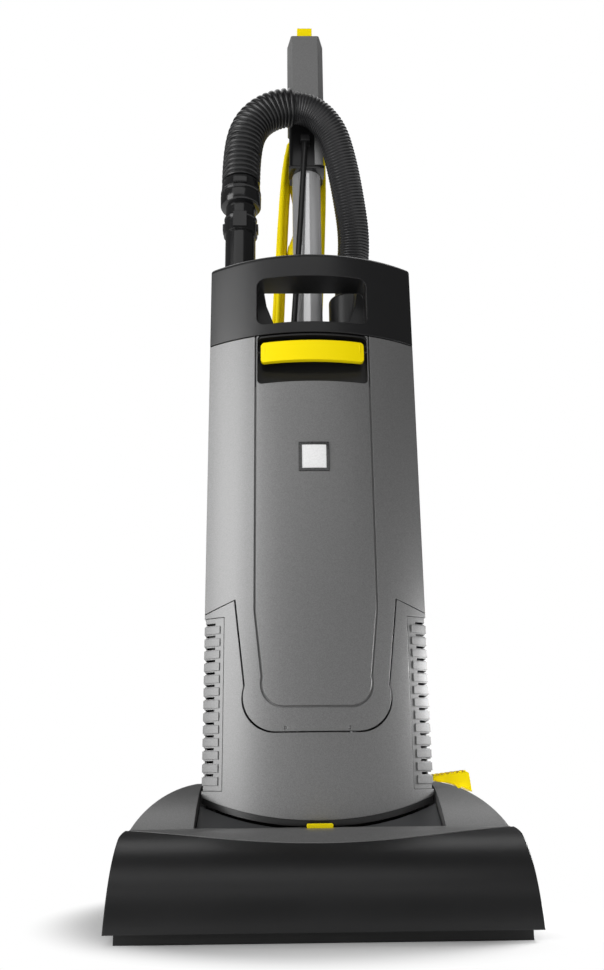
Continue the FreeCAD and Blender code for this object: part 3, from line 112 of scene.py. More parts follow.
class Tree:
    """A material's node tree with short ways to add nodes."""

    def __init__(self, name: str) -> None:
        """Starts a material with an empty tree.

        Args:
            name: the material's name.
        """
        self.material = bpy.data.materials.new(name)
        self.material.use_nodes = True
        self.nodes = self.material.node_tree.nodes
        self.links = self.material.node_tree.links
        self.nodes.clear()

    def node(self, kind: str, settings: dict | None = None, inputs: dict | None = None,
             out: object = 0) -> Value:
        """Adds a node, its settings first and its sockets' values or links after.

        Args:
            kind: the node's type.
            settings: attributes of the node; "stops" is a colour ramp's list of
                position and colour pairs.
            inputs: socket names or numbers with a value or another Value.
            out: the name or number of the output that is returned.

        Returns:
            The chosen output socket, wrapped.
        """
        made = self.nodes.new(kind)
        for key, setting in (settings or {}).items():
            if key == "stops":
                ramp = made.color_ramp
                while len(ramp.elements) < len(setting):
                    ramp.elements.new(0.5)
                for element, (place, colour) in zip(ramp.elements, setting):
                    element.position = place
                    element.color = (*colour, 1.0)
            else:
                setattr(made, key, setting)
        for key, value in (inputs or {}).items():
            socket = made.inputs[key]
            if isinstance(value, Value):
                self.links.new(value.socket, socket)
            else:
                socket.default_value = value
        return Value(self, made.outputs[out])

    def place(self, scale: Point = (1.0, 1.0, 1.0)) -> Value:
        """Object coordinates, stretched by a scale.

        Args:
            scale: how many times each axis is repeated.

        Returns:
            The vector.
        """
        where = self.node("ShaderNodeTexCoord", out="Object")
        return self.node("ShaderNodeMapping", {"vector_type": "POINT"}, {"Vector": where, "Scale": scale})

    def noise(self, size: float, detail: float = 3.0, scale: Point = (1.0, 1.0, 1.0)) -> Value:
        """Noise with a grain of about the given size in metres.

        Args:
            size: the grain in metres.
            detail: octaves.
            scale: stretch of each axis.

        Returns:
            A value around one half.
        """
        return self.node("ShaderNodeTexNoise", {}, {
            "Vector": self.place(scale), "Scale": 1.0 / size, "Detail": detail})

    def mix(self, mask: object, low: Colour, high: Colour) -> Value:
        """Colour between two colours by a mask.

        Args:
            mask: nought to one.
            low: colour at nought.
            high: colour at one.

        Returns:
            The mixed colour.
        """
        made = self.nodes.new("ShaderNodeMix")
        made.data_type = "RGBA"
        made.clamp_factor = True
        for index, value in ((0, mask), (6, low), (7, high)):
            if isinstance(value, Value):
                self.links.new(value.socket, made.inputs[index])
            else:
                made.inputs[index].default_value = (*value, 1.0) if index else value
        return Value(self, made.outputs[2])

    def shell(self, colour: object, roughness: object, height: object = None,
              **constants: float) -> bpy.types.Material:
        """Ends the tree in one Principled shader.

        Args:
            colour: base colour or its socket.
            roughness: number or socket.
            height: socket of a bump height in metres, if any.
            constants: other inputs of the shader by name, with _ for a space, and
                round_edges, the radius in metres that sharp edges catch light with.

        Returns:
            The finished material.
        """
        made = self.nodes.new("ShaderNodeBsdfPrincipled")
        edge = constants.pop("round_edges", 0.0)
        normal = None
        if edge:
            normal = self.node("ShaderNodeBevel", {"samples": 4}, {"Radius": edge})
        if height is not None:
            inputs = {"Height": height, "Distance": 1.0, "Strength": 1.0}
            if normal is not None:
                inputs["Normal"] = normal
            normal = self.node("ShaderNodeBump", {}, inputs)
        sockets = {"Base Color": colour, "Roughness": roughness, "Normal": normal}
        for key, value in sockets.items():
            if isinstance(value, Value):
                self.links.new(value.socket, made.inputs[key])
            elif value is not None:
                made.inputs[key].default_value = (*value, 1.0) if key == "Base Color" else value
        for key, value in constants.items():
            made.inputs[key.replace("_", " ").title().replace("Ior", "IOR")].default_value = value
        out = self.nodes.new("ShaderNodeOutputMaterial")
        self.links.new(made.outputs[0], out.inputs[0])
        return self.material


# Finishes --------------------------------------------------------------------------------
@dataclass(frozen=True)
class MouldedPlastic:
    """Plastic from a grained or polished mould, with faint wear and a soft edge."""

    name: str
    colour: Colour
    roughness: float
    grain: float = 0.0006
    relief: float = 0.00002
    edge: float = 0.0008
    coat: float = 0.0
    shift: float = 0.12
    gloss: float = 0.5

    def make(self) -> bpy.types.Material:
        """Builds the material.

        Returns:
            The material.
        """
        tree = Tree(self.name)
        broad = tree.noise(0.12, 4.0)
        grain = tree.noise(self.grain, 2.0)
        dark = tuple(c * (1.0 - self.shift) for c in self.colour)
        light = tuple(min(1.0, c * (1.0 + self.shift)) for c in self.colour)
        colour = tree.mix(broad * 0.7 + grain * 0.3, dark, light)
        rough = tree.noise(0.05, 3.0) * 0.10 + (self.roughness - 0.05)
        return tree.shell(colour, rough, grain * self.relief, round_edges=self.edge, coat_weight=self.coat,
                          specular_ior_level=self.gloss)


@dataclass(frozen=True)
class MetallicPaint:
    """Metal-flake paint: a fine speckle of bright flakes under a satin lacquer."""

    name: str
    colour: Colour
    flake: float = 0.0006
    roughness: float = 0.42
    metallic: float = 0.55
    edge: float = 0.0008

    def make(self) -> bpy.types.Material:
        """Builds the material.

        Returns:
            The material.
        """
        tree = Tree(self.name)
        fine = tree.node("ShaderNodeTexVoronoi", {"feature": "F1"}, {
            "Vector": tree.place(), "Scale": 1.0 / self.flake}, out="Color")
        spark = tree.node("ShaderNodeSeparateColor", {}, {"Color": fine}, out=0)
        broad = tree.noise(0.2, 3.0)
        dark = tuple(c * 0.84 for c in self.colour)
        light = tuple(min(1.0, c * 1.16) for c in self.colour)
        colour = tree.mix(spark * 0.85 + broad * 0.15, dark, light)
        rough = spark * 0.10 + (self.roughness - 0.05)
        height = tree.noise(0.0012, 2.0) * 0.00003
        return tree.shell(colour, rough, height, round_edges=self.edge, metallic=self.metallic,
                          coat_weight=0.15, coat_roughness=0.25)


@dataclass(frozen=True)
class BareMetal:
    """Metal with a drawn or polished surface and faint streaks."""

    name: str
    colour: Colour
    roughness: float
    streak: Point = (1.0, 1.0, 0.03)
    edge: float = 0.0
    metallic: float = 1.0

    def make(self) -> bpy.types.Material:
        """Builds the material.

        Returns:
            The material.
        """
        tree = Tree(self.name)
        streaks = tree.noise(0.0008, 2.0, self.streak)
        dark = tuple(c * 0.9 for c in self.colour)
        colour = tree.mix(streaks, dark, self.colour)
        rough = tree.noise(0.03, 3.0) * 0.06 + (streaks * 0.05 + (self.roughness - 0.05))
        return tree.shell(colour, rough, streaks * 0.000004, round_edges=self.edge,
                          metallic=self.metallic)


@dataclass(frozen=True)
class Fibre:
    """Nylon bristles, fleece or foam: a matt surface of fine fibres."""

    name: str
    colour: Colour
    size: float
    scale: Point = (1.0, 1.0, 1.0)
    relief: float = 0.0006

    def make(self) -> bpy.types.Material:
        """Builds the material.

        Returns:
            The material.
        """
        tree = Tree(self.name)
        strands = tree.noise(self.size, 4.0, self.scale)
        dark = tuple(c * 0.55 for c in self.colour)
        colour = tree.mix(strands, dark, self.colour)
        return tree.shell(colour, 0.85 + strands * 0.1, strands * self.relief, sheen_weight=0.2)


@dataclass(frozen=True)
class Badge:
    """A plain white plate with a thin dark rim and a bright bevel, with no mark."""

    name: str
    centre_z: float
    half: float

    def make(self) -> bpy.types.Material:
        """Builds the material.

        Returns:
            The material.
        """
        tree = Tree(self.name)
        where = tree.node("ShaderNodeTexCoord", out="Object")
        x = tree.node("ShaderNodeSeparateXYZ", {}, {0: where}, out=0)
        z = tree.node("ShaderNodeSeparateXYZ", {}, {0: where}, out=2) - self.centre_z
        across = tree.node("ShaderNodeMath", {"operation": "ABSOLUTE"}, {0: x})
        up = tree.node("ShaderNodeMath", {"operation": "ABSOLUTE"}, {0: z})
        far = tree.node("ShaderNodeMath", {"operation": "MAXIMUM"}, {0: across, 1: up})
        rim = far > self.half
        grain = tree.noise(0.002, 3.0)
        plate = tree.mix(grain, (0.82, 0.82, 0.82), (0.9, 0.9, 0.9))
        colour = tree.mix(rim, plate, (0.03, 0.03, 0.03))
        return tree.shell(colour, grain * 0.05 + 0.25, grain * 0.00001, round_edges=0.0006, coat_weight=0.5)


YELLOW_PAINT: Colour = (0.96, 0.76, 0.0)


def finishes() -> dict[str, bpy.types.Material]:
    """Makes every finish of the machine.

    Returns:
        The materials by the record's slot name.
    """
    makers = {
        "metallic_grey": MetallicPaint("metallic_grey", (0.215, 0.215, 0.215)),
        "dark_grey": MouldedPlastic("dark_grey", (0.055, 0.056, 0.058), 0.42),
        "black_satin": MouldedPlastic("black_satin", (0.010, 0.010, 0.0105), 0.33, edge=0.0014),
        "black_gloss": MouldedPlastic("black_gloss", (0.010, 0.010, 0.0105), 0.16, relief=0.000004),
        "hose_black": MouldedPlastic("hose_black", (0.018, 0.018, 0.019), 0.34, edge=0.0),
        "yellow": MouldedPlastic("yellow", YELLOW_PAINT, 0.36, shift=0.03, edge=0.001, gloss=0.15),
        "cord_yellow": MouldedPlastic("cord_yellow", (0.90, 0.72, 0.0), 0.45, edge=0.0, shift=0.04,
                                      gloss=0.15),
        "cable_black": MouldedPlastic("cable_black", (0.012, 0.012, 0.012), 0.3, edge=0.0),
        # chrome_tube: metallic held at 0.45, so its near-white colour shows as a diffuse white, a painted
        # reflection of the white surroundings on the chrome
        "chrome_tube": BareMetal("chrome_tube", (0.90, 0.90, 0.91), 0.13, metallic=0.45),
        "steel": BareMetal("steel", (0.55, 0.55, 0.56), 0.3, edge=0.0003),
        "badge_plate": Badge("badge_plate", 0.481, 0.0136),
        "black_inner": MouldedPlastic("black_inner", (0.006, 0.006, 0.006), 0.6),
        "tyre_rubber": MouldedPlastic("tyre_rubber", (0.022, 0.022, 0.023), 0.7, relief=0.00008),
        "bearing_bronze": BareMetal("bearing_bronze", (0.6, 0.36, 0.16), 0.35),
        "motor_metal": BareMetal("motor_metal", (0.42, 0.42, 0.43), 0.4, edge=0.0004),
        "bristle_nylon": Fibre("bristle_nylon", (0.03, 0.03, 0.032), 0.0012, (0.2, 1.0, 1.0)),
        "bag_fleece": Fibre("bag_fleece", (0.72, 0.71, 0.67), 0.0015),
        "filter_foam": Fibre("filter_foam", (0.09, 0.09, 0.095), 0.002),
    }
    return {name: maker.make() for name, maker in makers.items()}


# Helpers ---------------------------------------------------------------------------------
def spline_object(name: str, route: list[Point], bevel: float, resolution: int = 6) -> bpy.types.Object:
    """One open smooth curve with the route's points as its control points.

    Args:
        name: the object's name.
        route: control points in metres.
        bevel: radius of the round section, nought for a bare line.
        resolution: steps between control points.

    Returns:
        The curve object.
    """
    curve = bpy.data.curves.new(name, "CURVE")
    curve.dimensions = "3D"
    curve.resolution_u = resolution
    curve.bevel_depth = bevel
    curve.bevel_resolution = 3
    curve.use_fill_caps = bevel > 0.0
    line = curve.splines.new("NURBS")
    line.points.add(len(route) - 1)
    for point, place in zip(line.points, route):
        point.co = (*place, 1.0)
    line.order_u = 3
    line.use_endpoint_u = True
    made = bpy.data.objects.new(name, curve)
    bpy.context.scene.collection.objects.link(made)
    return made


def centreline(route: list[Point], resolution: int = 12) -> list[Vector]:
    """Points along the smooth curve of a route.

    Args:
        route: control points in metres.
        resolution: steps between control points.

    Returns:
        Points from end to end.
    """
    probe = spline_object("probe", route, 0.0, resolution)
    mesh = bpy.data.meshes.new_from_object(probe)
    points = [v.co.copy() for v in mesh.vertices]
    bpy.data.meshes.remove(mesh)
    bpy.data.objects.remove(probe)
    return points


def resample(points: list[Vector], step: float) -> list[Vector]:
    """Evenly spaced points along a line of points.

    Args:
        points: the line.
        step: wanted spacing in metres.

    Returns:
        The new points, both ends kept.
    """
    marks = [0.0]
    for a, b in zip(points, points[1:]):
        marks.append(marks[-1] + (b - a).length)
    count = max(2, round(marks[-1] / step))
    result = []
    k = 0
    for i in range(count + 1):
        want = marks[-1] * i / count
        while k < len(marks) - 2 and marks[k + 1] < want:
            k += 1
        share = (want - marks[k]) / max(1e-9, marks[k + 1] - marks[k])
        result.append(points[k].lerp(points[k + 1], min(1.0, max(0.0, share))))
    return result


def frames_along(points: list[Vector], side: Vector) -> list[tuple[Vector, Vector, Vector]]:
    """Point, and two directions across the line, turned as little as possible.

    Args:
        points: the line.
        side: a rough first direction across it.

    Returns:
        One (point, across, upright) for each point.
    """
    result = []
    across = side
    for i, here in enumerate(points):
        ahead = points[min(i + 1, len(points) - 1)] - points[max(i - 1, 0)]
        ahead.normalize()
        across = (across - ahead * across.dot(ahead)).normalized()
        result.append((here, across.copy(), ahead.cross(across)))
    return result


def tube_mesh(name: str, rings: list[list[Vector]], close_ends: bool = True) -> bpy.types.Object:
    """A tube from rings of points.

    Args:
        name: the object's name.
        rings: rings of the same number of points, in order.
        close_ends: whether the first and last ring get a face.

    Returns:
        The mesh object.
    """
    mesh = bpy.data.meshes.new(name)
    around = len(rings[0])
    points = [p for ring in rings for p in ring]
    faces = []
    for r in range(len(rings) - 1):
        for i in range(around):
            j = (i + 1) % around
            faces.append((r * around + i, r * around + j, (r + 1) * around + j, (r + 1) * around + i))
    if close_ends:
        faces.append(tuple(reversed(range(around))))
        faces.append(tuple(range((len(rings) - 1) * around, len(rings) * around)))
    mesh.from_pydata(points, [], faces)
    mesh.update()
    work = bmesh.new()
    work.from_mesh(mesh)
    bmesh.ops.recalc_face_normals(work, faces=work.faces)
    work.to_mesh(mesh)
    work.free()
    made = bpy.data.objects.new(name, mesh)
    bpy.context.scene.collection.objects.link(made)
    return made


def shade(piece: bpy.types.Object, angle: float = 35.0) -> None:
    """Smooth shading up to an angle.

    Args:
        piece: the mesh object.
        angle: sharper edges than this, in degrees, stay sharp.
    """
    bpy.ops.object.select_all(action="DESELECT")
    piece.select_set(True)
    bpy.context.view_layer.objects.active = piece
    bpy.ops.object.shade_smooth_by_angle(angle=math.radians(angle))


def start_piece(name: str, kind: str, **settings: object) -> bpy.types.Object:
    """Adds a primitive as the start of a piece.

    Args:
        name: the piece's name.
        kind: the primitive's operator, such as cube or circle.
        settings: the operator's arguments.

    Returns:
        The new object, active and the only one selected.
    """
    bpy.ops.object.select_all(action="DESELECT")
    getattr(bpy.ops.mesh, f"primitive_{kind}_add")(**settings)
    piece = bpy.context.active_object
    piece.name = name
    bpy.ops.object.transform_apply(location=True, rotation=True, scale=True)
    return piece


def pick_faces(piece: bpy.types.Object, test: Callable[[Vector, Vector], bool]) -> None:
    """Selects, in edit mode, the faces that pass a test and nothing else.

    Args:
        piece: the object in edit mode.
        test: takes a face's centre and normal.
    """
    work = bmesh.from_edit_mesh(piece.data)
    bpy.ops.mesh.select_all(action="DESELECT")
    for face in work.faces:
        face.select_set(test(face.calc_center_median(), face.normal))
    work.select_flush_mode()
    bmesh.update_edit_mesh(piece.data)


def finish_piece(piece: bpy.types.Object, paint: dict[str, bpy.types.Material], slot: str, body: str,
                 bevel: float = 0.0, angle: float = 30.0) -> bpy.types.Object:
    """Rounds a piece's sharp edges, dresses it and lets it ride on a body.

    Args:
        piece: the mesh object.
        paint: the finishes by slot.
        slot: the record's slot that it takes its finish from.
        body: the body that it moves with.
        bevel: width of the rounding, nought for none.
        angle: edges sharper than this are rounded, in degrees.

    Returns:
        The piece.
    """
    bpy.ops.object.select_all(action="DESELECT")
    piece.select_set(True)
    bpy.context.view_layer.objects.active = piece
    if bevel:
        rounding = piece.modifiers.new("rounding", "BEVEL")
        rounding.width = bevel
        rounding.segments = 2
        rounding.limit_method = "ANGLE"
        rounding.angle_limit = math.radians(angle)
        bpy.ops.object.modifier_apply(modifier=rounding.name)
    piece.data.materials.clear()
    piece.data.materials.append(paint[slot])
    shade(piece)
    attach(piece, body)
    return piece


def turned(name: str, centre: tuple[float, float], profile: list[tuple[float, float]]) -> bpy.types.Object:
    """A round piece raised from a disc by extruding and resizing its top, ring by ring.

    Args:
        name: the piece's name.
        centre: x and y of its upright axis.
        profile: height and radius of each ring, from the bottom up.

    Returns:
        The closed mesh object.
    """
    low, radius = profile[0]
    piece = start_piece(name, "circle", vertices=64, radius=radius, fill_type="NGON", location=(*centre, low))
    bpy.ops.object.mode_set(mode="EDIT")
    bpy.ops.mesh.select_all(action="SELECT")
    for height, wanted in profile[1:]:
        bpy.ops.mesh.extrude_region_move(TRANSFORM_OT_translate={"value": (0.0, 0.0, height - low)})
        ratio = wanted / radius
        bpy.ops.transform.resize(value=(ratio, ratio, 1.0), center_override=(*centre, height))
        low, radius = height, wanted
    bpy.ops.mesh.select_all(action="SELECT")
    bpy.ops.mesh.normals_make_consistent(inside=False)
    bpy.ops.object.mode_set(mode="OBJECT")
    return piece


def block(name: str, low: Point, high: Point) -> bpy.types.Object:
    """A box between two corners, as the start of a piece.

    Args:
        name: the piece's name.
        low: lowest corner.
        high: highest corner.

    Returns:
        The object.
    """
    middle = [(a + b) / 2 for a, b in zip(low, high)]
    piece = start_piece(name, "cube", size=1.0, location=middle)
    bpy.ops.object.mode_set(mode="EDIT")
    bpy.ops.mesh.select_all(action="SELECT")
    bpy.ops.transform.resize(value=[b - a for a, b in zip(low, high)], center_override=middle)
    bpy.ops.object.mode_set(mode="OBJECT")
    return piece


def field(piece: bpy.types.Object, border: float, depth: float) -> None:
    """Sinks or raises a field in a piece's front face.

    Args:
        piece: the object, which faces -Y.
        border: width left around the field.
        depth: how far the field goes back, or forward when negative.
    """
    bpy.ops.object.mode_set(mode="EDIT")
    pick_faces(piece, lambda centre, normal: normal.y < -0.9)
    bpy.ops.mesh.inset(thickness=border)
    bpy.ops.mesh.extrude_region_move(TRANSFORM_OT_translate={"value": (0.0, depth, 0.0)})
    bpy.ops.object.mode_set(mode="OBJECT")


def joined(pieces: list[bpy.types.Object]) -> bpy.types.Object:
    """Joins pieces into the first of them.

    Args:
        pieces: mesh objects.

    Returns:
        The first piece.
    """
    bpy.ops.object.select_all(action="DESELECT")
    for piece in pieces:
        piece.select_set(True)
    bpy.context.view_layer.objects.active = pieces[0]
    bpy.ops.object.join()
    return pieces[0]


# Trim of the grip ------------------------------------------------------------------------
@dataclass
class ShellTrim:
    """Small pieces on the fixed shells: the collar's light panel and its rim."""

    collar_panel: tuple[Point, Point] = ((0.0115, 0.0625, 0.962), (0.0235, 0.0660, 1.032))
    panel_border: float = 0.0012
    collar_rim: tuple[Point, Point] = ((-0.0250, 0.0625, 0.956), (0.0250, 0.0900, 0.9605))
    rim_border: float = 0.0010
    step: float = 0.0006
    rounding: float = 0.0006

    def build(self, paint: dict[str, bpy.types.Material]) -> None:
        """Builds the trim.

        Args:
            paint: the finishes by slot.
        """
        light = block("collar_panel", *self.collar_panel)
        field(light, self.panel_border, -self.step)
        finish_piece(light, paint, "metallic_grey", "body", self.rounding)
        rim = block("collar_rim", *self.collar_rim)
        field(rim, self.rim_border, self.step)
        finish_piece(rim, paint, "black_gloss", "body", self.rounding)


# Wand and plug ---------------------------------------------------------------------------
@dataclass
class WandFittings:
    """The hose cuff with its locking window, and the wand's clip ring."""

    axis: tuple[float, float] = (-0.090, 0.030)
    cuff_profile: tuple[tuple[float, float], ...] = (
        (0.8680, 0.0235), (0.8690, 0.0262), (0.8710, 0.0270), (0.8850, 0.0273), (0.8865, 0.0262),
        (0.8885, 0.0262), (0.8895, 0.0272), (0.8915, 0.0270), (0.8925, 0.0262), (0.9050, 0.0256),
        (0.9068, 0.0246))
    clip_profile: tuple[tuple[float, float], ...] = (
        (0.8300, 0.0203), (0.8303, 0.0216), (0.8340, 0.0219), (0.8350, 0.0210), (0.8480, 0.0210),
        (0.8490, 0.0219), (0.8510, 0.0219), (0.8520, 0.0203))

    rounding: float = 0.0004
    window_front: float = 0.0268
    window_half: float = 0.009
    window_proud: float = 0.0012
    window_back: float = 0.004
    window_z: tuple[float, float] = (0.8925, 0.9040)
    window_border: float = 0.0016
    window_depth: float = 0.0032
    window_rounding: float = 0.0003
    teeth: int = 4
    tooth_start: float = 0.0062
    tooth_pitch: float = 0.0034
    tooth_width: float = 0.0020
    tooth_proud: float = 0.0008
    tooth_back: float = 0.003
    tooth_z: tuple[float, float] = (0.8990, 0.9028)
    tab_half: float = 0.0085
    tab_front: float = 0.0240
    tab_back: float = 0.0195
    tab_z: tuple[float, float] = (0.8360, 0.8500)
    tab_border: float = 0.0015
    tab_depth: float = 0.0012
    lug_inner: float = 0.019
    lug_outer: float = 0.0236
    lug_half: float = 0.006
    lug_z: tuple[float, float] = (0.8320, 0.8420)

    def window(self) -> bpy.types.Object:
        """Builds the frame of the locking window with its teeth.

        Returns:
            The object.
        """
        x, y = self.axis
        front = y - self.window_front
        low, high = self.window_z
        rim = block("cuff_window", (x - self.window_half, front - self.window_proud, low),
                    (x + self.window_half, front + self.window_back, high))
        field(rim, self.window_border, self.window_depth)
        low, high = self.tooth_z
        teeth = []
        for i in range(self.teeth):
            left = x - self.tooth_start + self.tooth_pitch * i
            teeth.append(block("tooth", (left, front - self.tooth_proud, low),
                               (left + self.tooth_width, front + self.tooth_back, high)))
        return joined([rim, *teeth])

    def clip(self) -> bpy.types.Object:
        """Builds the ring around the wand, with its tab in front and a lug on each side.

        Returns:
            The object.
        """
        ring = turned("clip_ring", self.axis, list(self.clip_profile))
        x, y = self.axis
        low, high = self.tab_z
        tab = block("clip_tab", (x - self.tab_half, y - self.tab_front, low),
                    (x + self.tab_half, y - self.tab_back, high))
        field(tab, self.tab_border, self.tab_depth)
        low, high = self.lug_z
        lugs = []
        for side in (-1.0, 1.0):
            inner, outer = x + side * self.lug_inner, x + side * self.lug_outer
            lugs.append(block("clip_lug", (min(inner, outer), y - self.lug_half, low),
                              (max(inner, outer), y + self.lug_half, high)))
        return joined([ring, tab, *lugs])

    def build(self, paint: dict[str, bpy.types.Material]) -> None:
        """Builds the fittings.

        Args:
            paint: the finishes by slot.
        """
        cuff = turned("wand_cuff", self.axis, list(self.cuff_profile))
        finish_piece(cuff, paint, "black_gloss", "wand", self.rounding)
        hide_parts("hose_cuff")
        finish_piece(self.window(), paint, "black_gloss", "wand", self.window_rounding)
        finish_piece(self.clip(), paint, "black_gloss", "wand", self.rounding)


@dataclass
class MainsPlug:
    """The yellow rubber plug: a ribbed cone, a round body with a waist, and two pins."""

    axis: tuple[float, float] = (-0.0115, 0.130)
    profile: tuple[tuple[float, float], ...] = (
        (0.8352, 0.0150), (0.8358, 0.0166), (0.8400, 0.0170), (0.8480, 0.0170), (0.8500, 0.0160),
        (0.8560, 0.0160), (0.8580, 0.0168), (0.8700, 0.0150), (0.8740, 0.0128), (0.8770, 0.0122),
        (0.8775, 0.0108), (0.8790, 0.0108), (0.8795, 0.0112), (0.8830, 0.0100), (0.8835, 0.0088),
        (0.8850, 0.0088), (0.8855, 0.0092), (0.8890, 0.0082), (0.8895, 0.0070), (0.8910, 0.0070),
        (0.8915, 0.0074), (0.9000, 0.0060), (0.9010, 0.0050))
    rounding: float = 0.0004
    pin_offset: float = 0.0095
    pin_profile: tuple[tuple[float, float], ...] = (
        (0.8165, 0.0014), (0.8175, 0.0022), (0.8200, 0.0024), (0.8356, 0.0024))

    def build(self, paint: dict[str, bpy.types.Material]) -> bpy.types.Object:
        """Builds the plug and its pins.

        Args:
            paint: the finishes by slot.

        Returns:
            The plug's body.
        """
        shell = turned("plug_body", self.axis, list(self.profile))
        finish_piece(shell, paint, "cord_yellow", "body", self.rounding)
        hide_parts("plug")
        x, y = self.axis
        for number, side in enumerate((-1.0, 1.0)):
            pin = turned(f"plug_pin_{number}", (x + side * self.pin_offset, y), list(self.pin_profile))
            finish_piece(pin, paint, "steel", "body")
        return shell


# Cords and hoses -------------------------------------------------------------------------
@dataclass
class MainsCord:
    """The yellow mains lead: down from the grip, about twelve turns of hank, then the plug."""

    thickness: float = 0.007
    centre_x: float = -0.002
    centre_y: float = 0.141
    top_z: float = 1.052
    bottom_z: float = 0.5605
    outer_r: float = 0.034
    leg: float = 0.014
    lean: float = math.radians(2.7)
    row_pitch: float = 0.0072
    rows: int = 6
    turns: int = 12
    spread: float = 0.0012
    sag: float = 0.0015
    belly: float = 0.0022
    near_end: float = 0.12
    first_leg: float = 0.30
    lead: tuple[Point, ...] = (
        (0.006, 0.128, 0.958), (0.005, 0.131, 0.930), (-0.002, 0.143, 0.900), (-0.017, 0.152, 0.868),
        (-0.034, 0.155, 0.830))
    tail: tuple[Point, ...] = (
        (-0.028, 0.139, 1.018), (-0.023, 0.134, 0.990), (-0.019, 0.131, 0.960), (-0.014, 0.130, 0.930),
        (-0.0115, 0.130, 0.901))

    def turn(self, number: int) -> list[Point]:
        """Control points of one turn, from low on the left leg round to it again.

        Args:
            number: which turn, from nought.

        Returns:
            Twelve points.
        """
        half = self.turns // 2
        inner = number >= half
        row = number - half if inner else self.rows - 1 - number
        way = 1.0 if inner else -1.0
        radius = self.outer_r - self.leg + self.thickness / 2 if inner else self.outer_r - self.thickness / 2
        radius += self.spread * math.sin(2.3 * number + 0.4)
        high = self.top_z - self.outer_r
        low = self.bottom_z + self.outer_r + self.sag * math.sin(1.7 * number)
        bow = self.belly * math.sin(1.3 * number + 0.9)
        knot = radius / math.cos(math.pi / 8)
        spots = [(-radius - bow, high - self.first_leg), (-radius - bow, low + self.near_end)]
        for k in range(4):
            angle = math.pi + math.pi / 8 + k * math.pi / 4
            spots.append((knot * math.cos(angle), low + knot * math.sin(angle)))
        spots += [(radius + bow, low + self.near_end), (radius + bow, high - self.near_end)]
        for k in range(4):
            angle = math.pi / 8 + k * math.pi / 4
            spots.append((knot * math.cos(angle), high + knot * math.sin(angle)))
        result = []
        for k, (x, z) in enumerate(spots):
            y = self.centre_y + self.row_pitch * (row - (self.rows - 1) / 2 + way * (k / 12 - 0.5))
            drop = z - high
            result.append((
                self.centre_x + x * math.cos(self.lean) + drop * math.sin(self.lean), y,
                high - x * math.sin(self.lean) + drop * math.cos(self.lean)))
        return result

    def build(self, paint: dict[str, bpy.types.Material]) -> None:
        """Args:
            paint: the finishes by slot.
        """
        route = list(self.lead)
        for number in range(self.turns):
            points = self.turn(number)
            route += points[1:] if number == 0 else points
        route += list(self.tail)
        cord = spline_object("mains_cord", route, self.thickness / 2, 4)
        cord.data.materials.append(paint["cord_yellow"])
        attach(cord, "body")
        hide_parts("cord_hank", "cord_lead", "cord_tail")
        line = centreline(route, 4)
        length = sum((b - a).length for a, b in zip(line, line[1:]))
        LOG.info("mains cord %.2f m", length)
        plug = MainsPlug().build(paint)


@dataclass
class SuctionHose:
    """The ribbed suction hose from the wand's cuff over to the port, and its slotted sleeve."""

    radius: float = 0.022
    rib: float = 0.0011
    pitch: float = 0.0042
    rib_profile: tuple[float, ...] = (0.0, -1.0, -1.15, -0.3)
    sleeve_radius: float = 0.026
    sleeve_round: float = 0.0006
    sleeve_gap: float = 0.0008
    sleeve_pitch: float = 0.0072
    sleeve_from_z: float = 0.9074
    sleeve_to_x: float = -0.018
    around: int = 40
    route: tuple[Point, ...] = (
        (-0.090, 0.030, 0.900), (-0.090, 0.030, 0.958), (-0.077, 0.031, 1.006), (-0.042, 0.033, 1.033),
        (0.002, 0.036, 1.036), (0.034, 0.042, 1.007), (0.048, 0.054, 0.962), (0.058, 0.068, 0.912),
        (0.066, 0.084, 0.858), (0.062, 0.093, 0.806), (0.058, 0.094, 0.752))

    def ring(self, spot: tuple[Vector, Vector, Vector], radius: float) -> list[Vector]:
        """A round of points across the line."""
        here, across, upright = spot
        return [
            here + across * (radius * math.cos(t)) + upright * (radius * math.sin(t))
            for t in (2 * math.pi * i / self.around for i in range(self.around))]

    def build(self, paint: dict[str, bpy.types.Material]) -> None:
        """Args:
            paint: the finishes by slot.
        """
        line = centreline(list(self.route), 16)
        count = len(self.rib_profile)
        path = resample(line, self.pitch / count)
        rings = []
        for k, spot in enumerate(frames_along(path, Vector((0, 1, 0)))):
            rings.append(self.ring(spot, self.radius + self.rib * self.rib_profile[k % count]))
        hose = tube_mesh("ribbed_hose", rings)
        hose.data.materials.append(paint["hose_black"])
        shade(hose, 50.0)
        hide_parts("suction_hose")
        length = sum((b - a).length for a, b in zip(path, path[1:]))
        LOG.info("hose %.3f m", length)
        high = self.sleeve_radius
        low = self.radius + self.sleeve_gap
        steps = (high - self.sleeve_round, high, high, high - self.sleeve_round, low, low)
        covered = [p for p in resample(line, self.sleeve_pitch / len(steps))
                   if p.z > self.sleeve_from_z and p.x < self.sleeve_to_x]
        rings = []
        for k, spot in enumerate(frames_along(covered, Vector((0, 1, 0)))):
            rings.append(self.ring(spot, steps[k % len(steps)]))
        sleeve = tube_mesh("slotted_sleeve", rings)
        sleeve.data.materials.append(paint["black_satin"])
        shade(sleeve, 40.0)
        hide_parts("antikink_sleeve")
        for piece in (hose, sleeve):
            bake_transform(piece)


@dataclass
class SwitchCable:
    """The black cable from the grip down in front of the tube into the body."""

    thickness: float = 0.008
    route: tuple[Point, ...] = ((-0.002, 0.060, 0.996), (-0.010, 0.058, 0.850), (-0.024, 0.060, 0.651))

    def build(self, paint: dict[str, bpy.types.Material]) -> None:
        """Args:
            paint: the finishes by slot.
        """
        cable = spline_object("switch_lead", list(self.route), self.thickness / 2, 16)
        cable.data.materials.append(paint["cable_black"])
        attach(cable, "body")
        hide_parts("switch_cable")


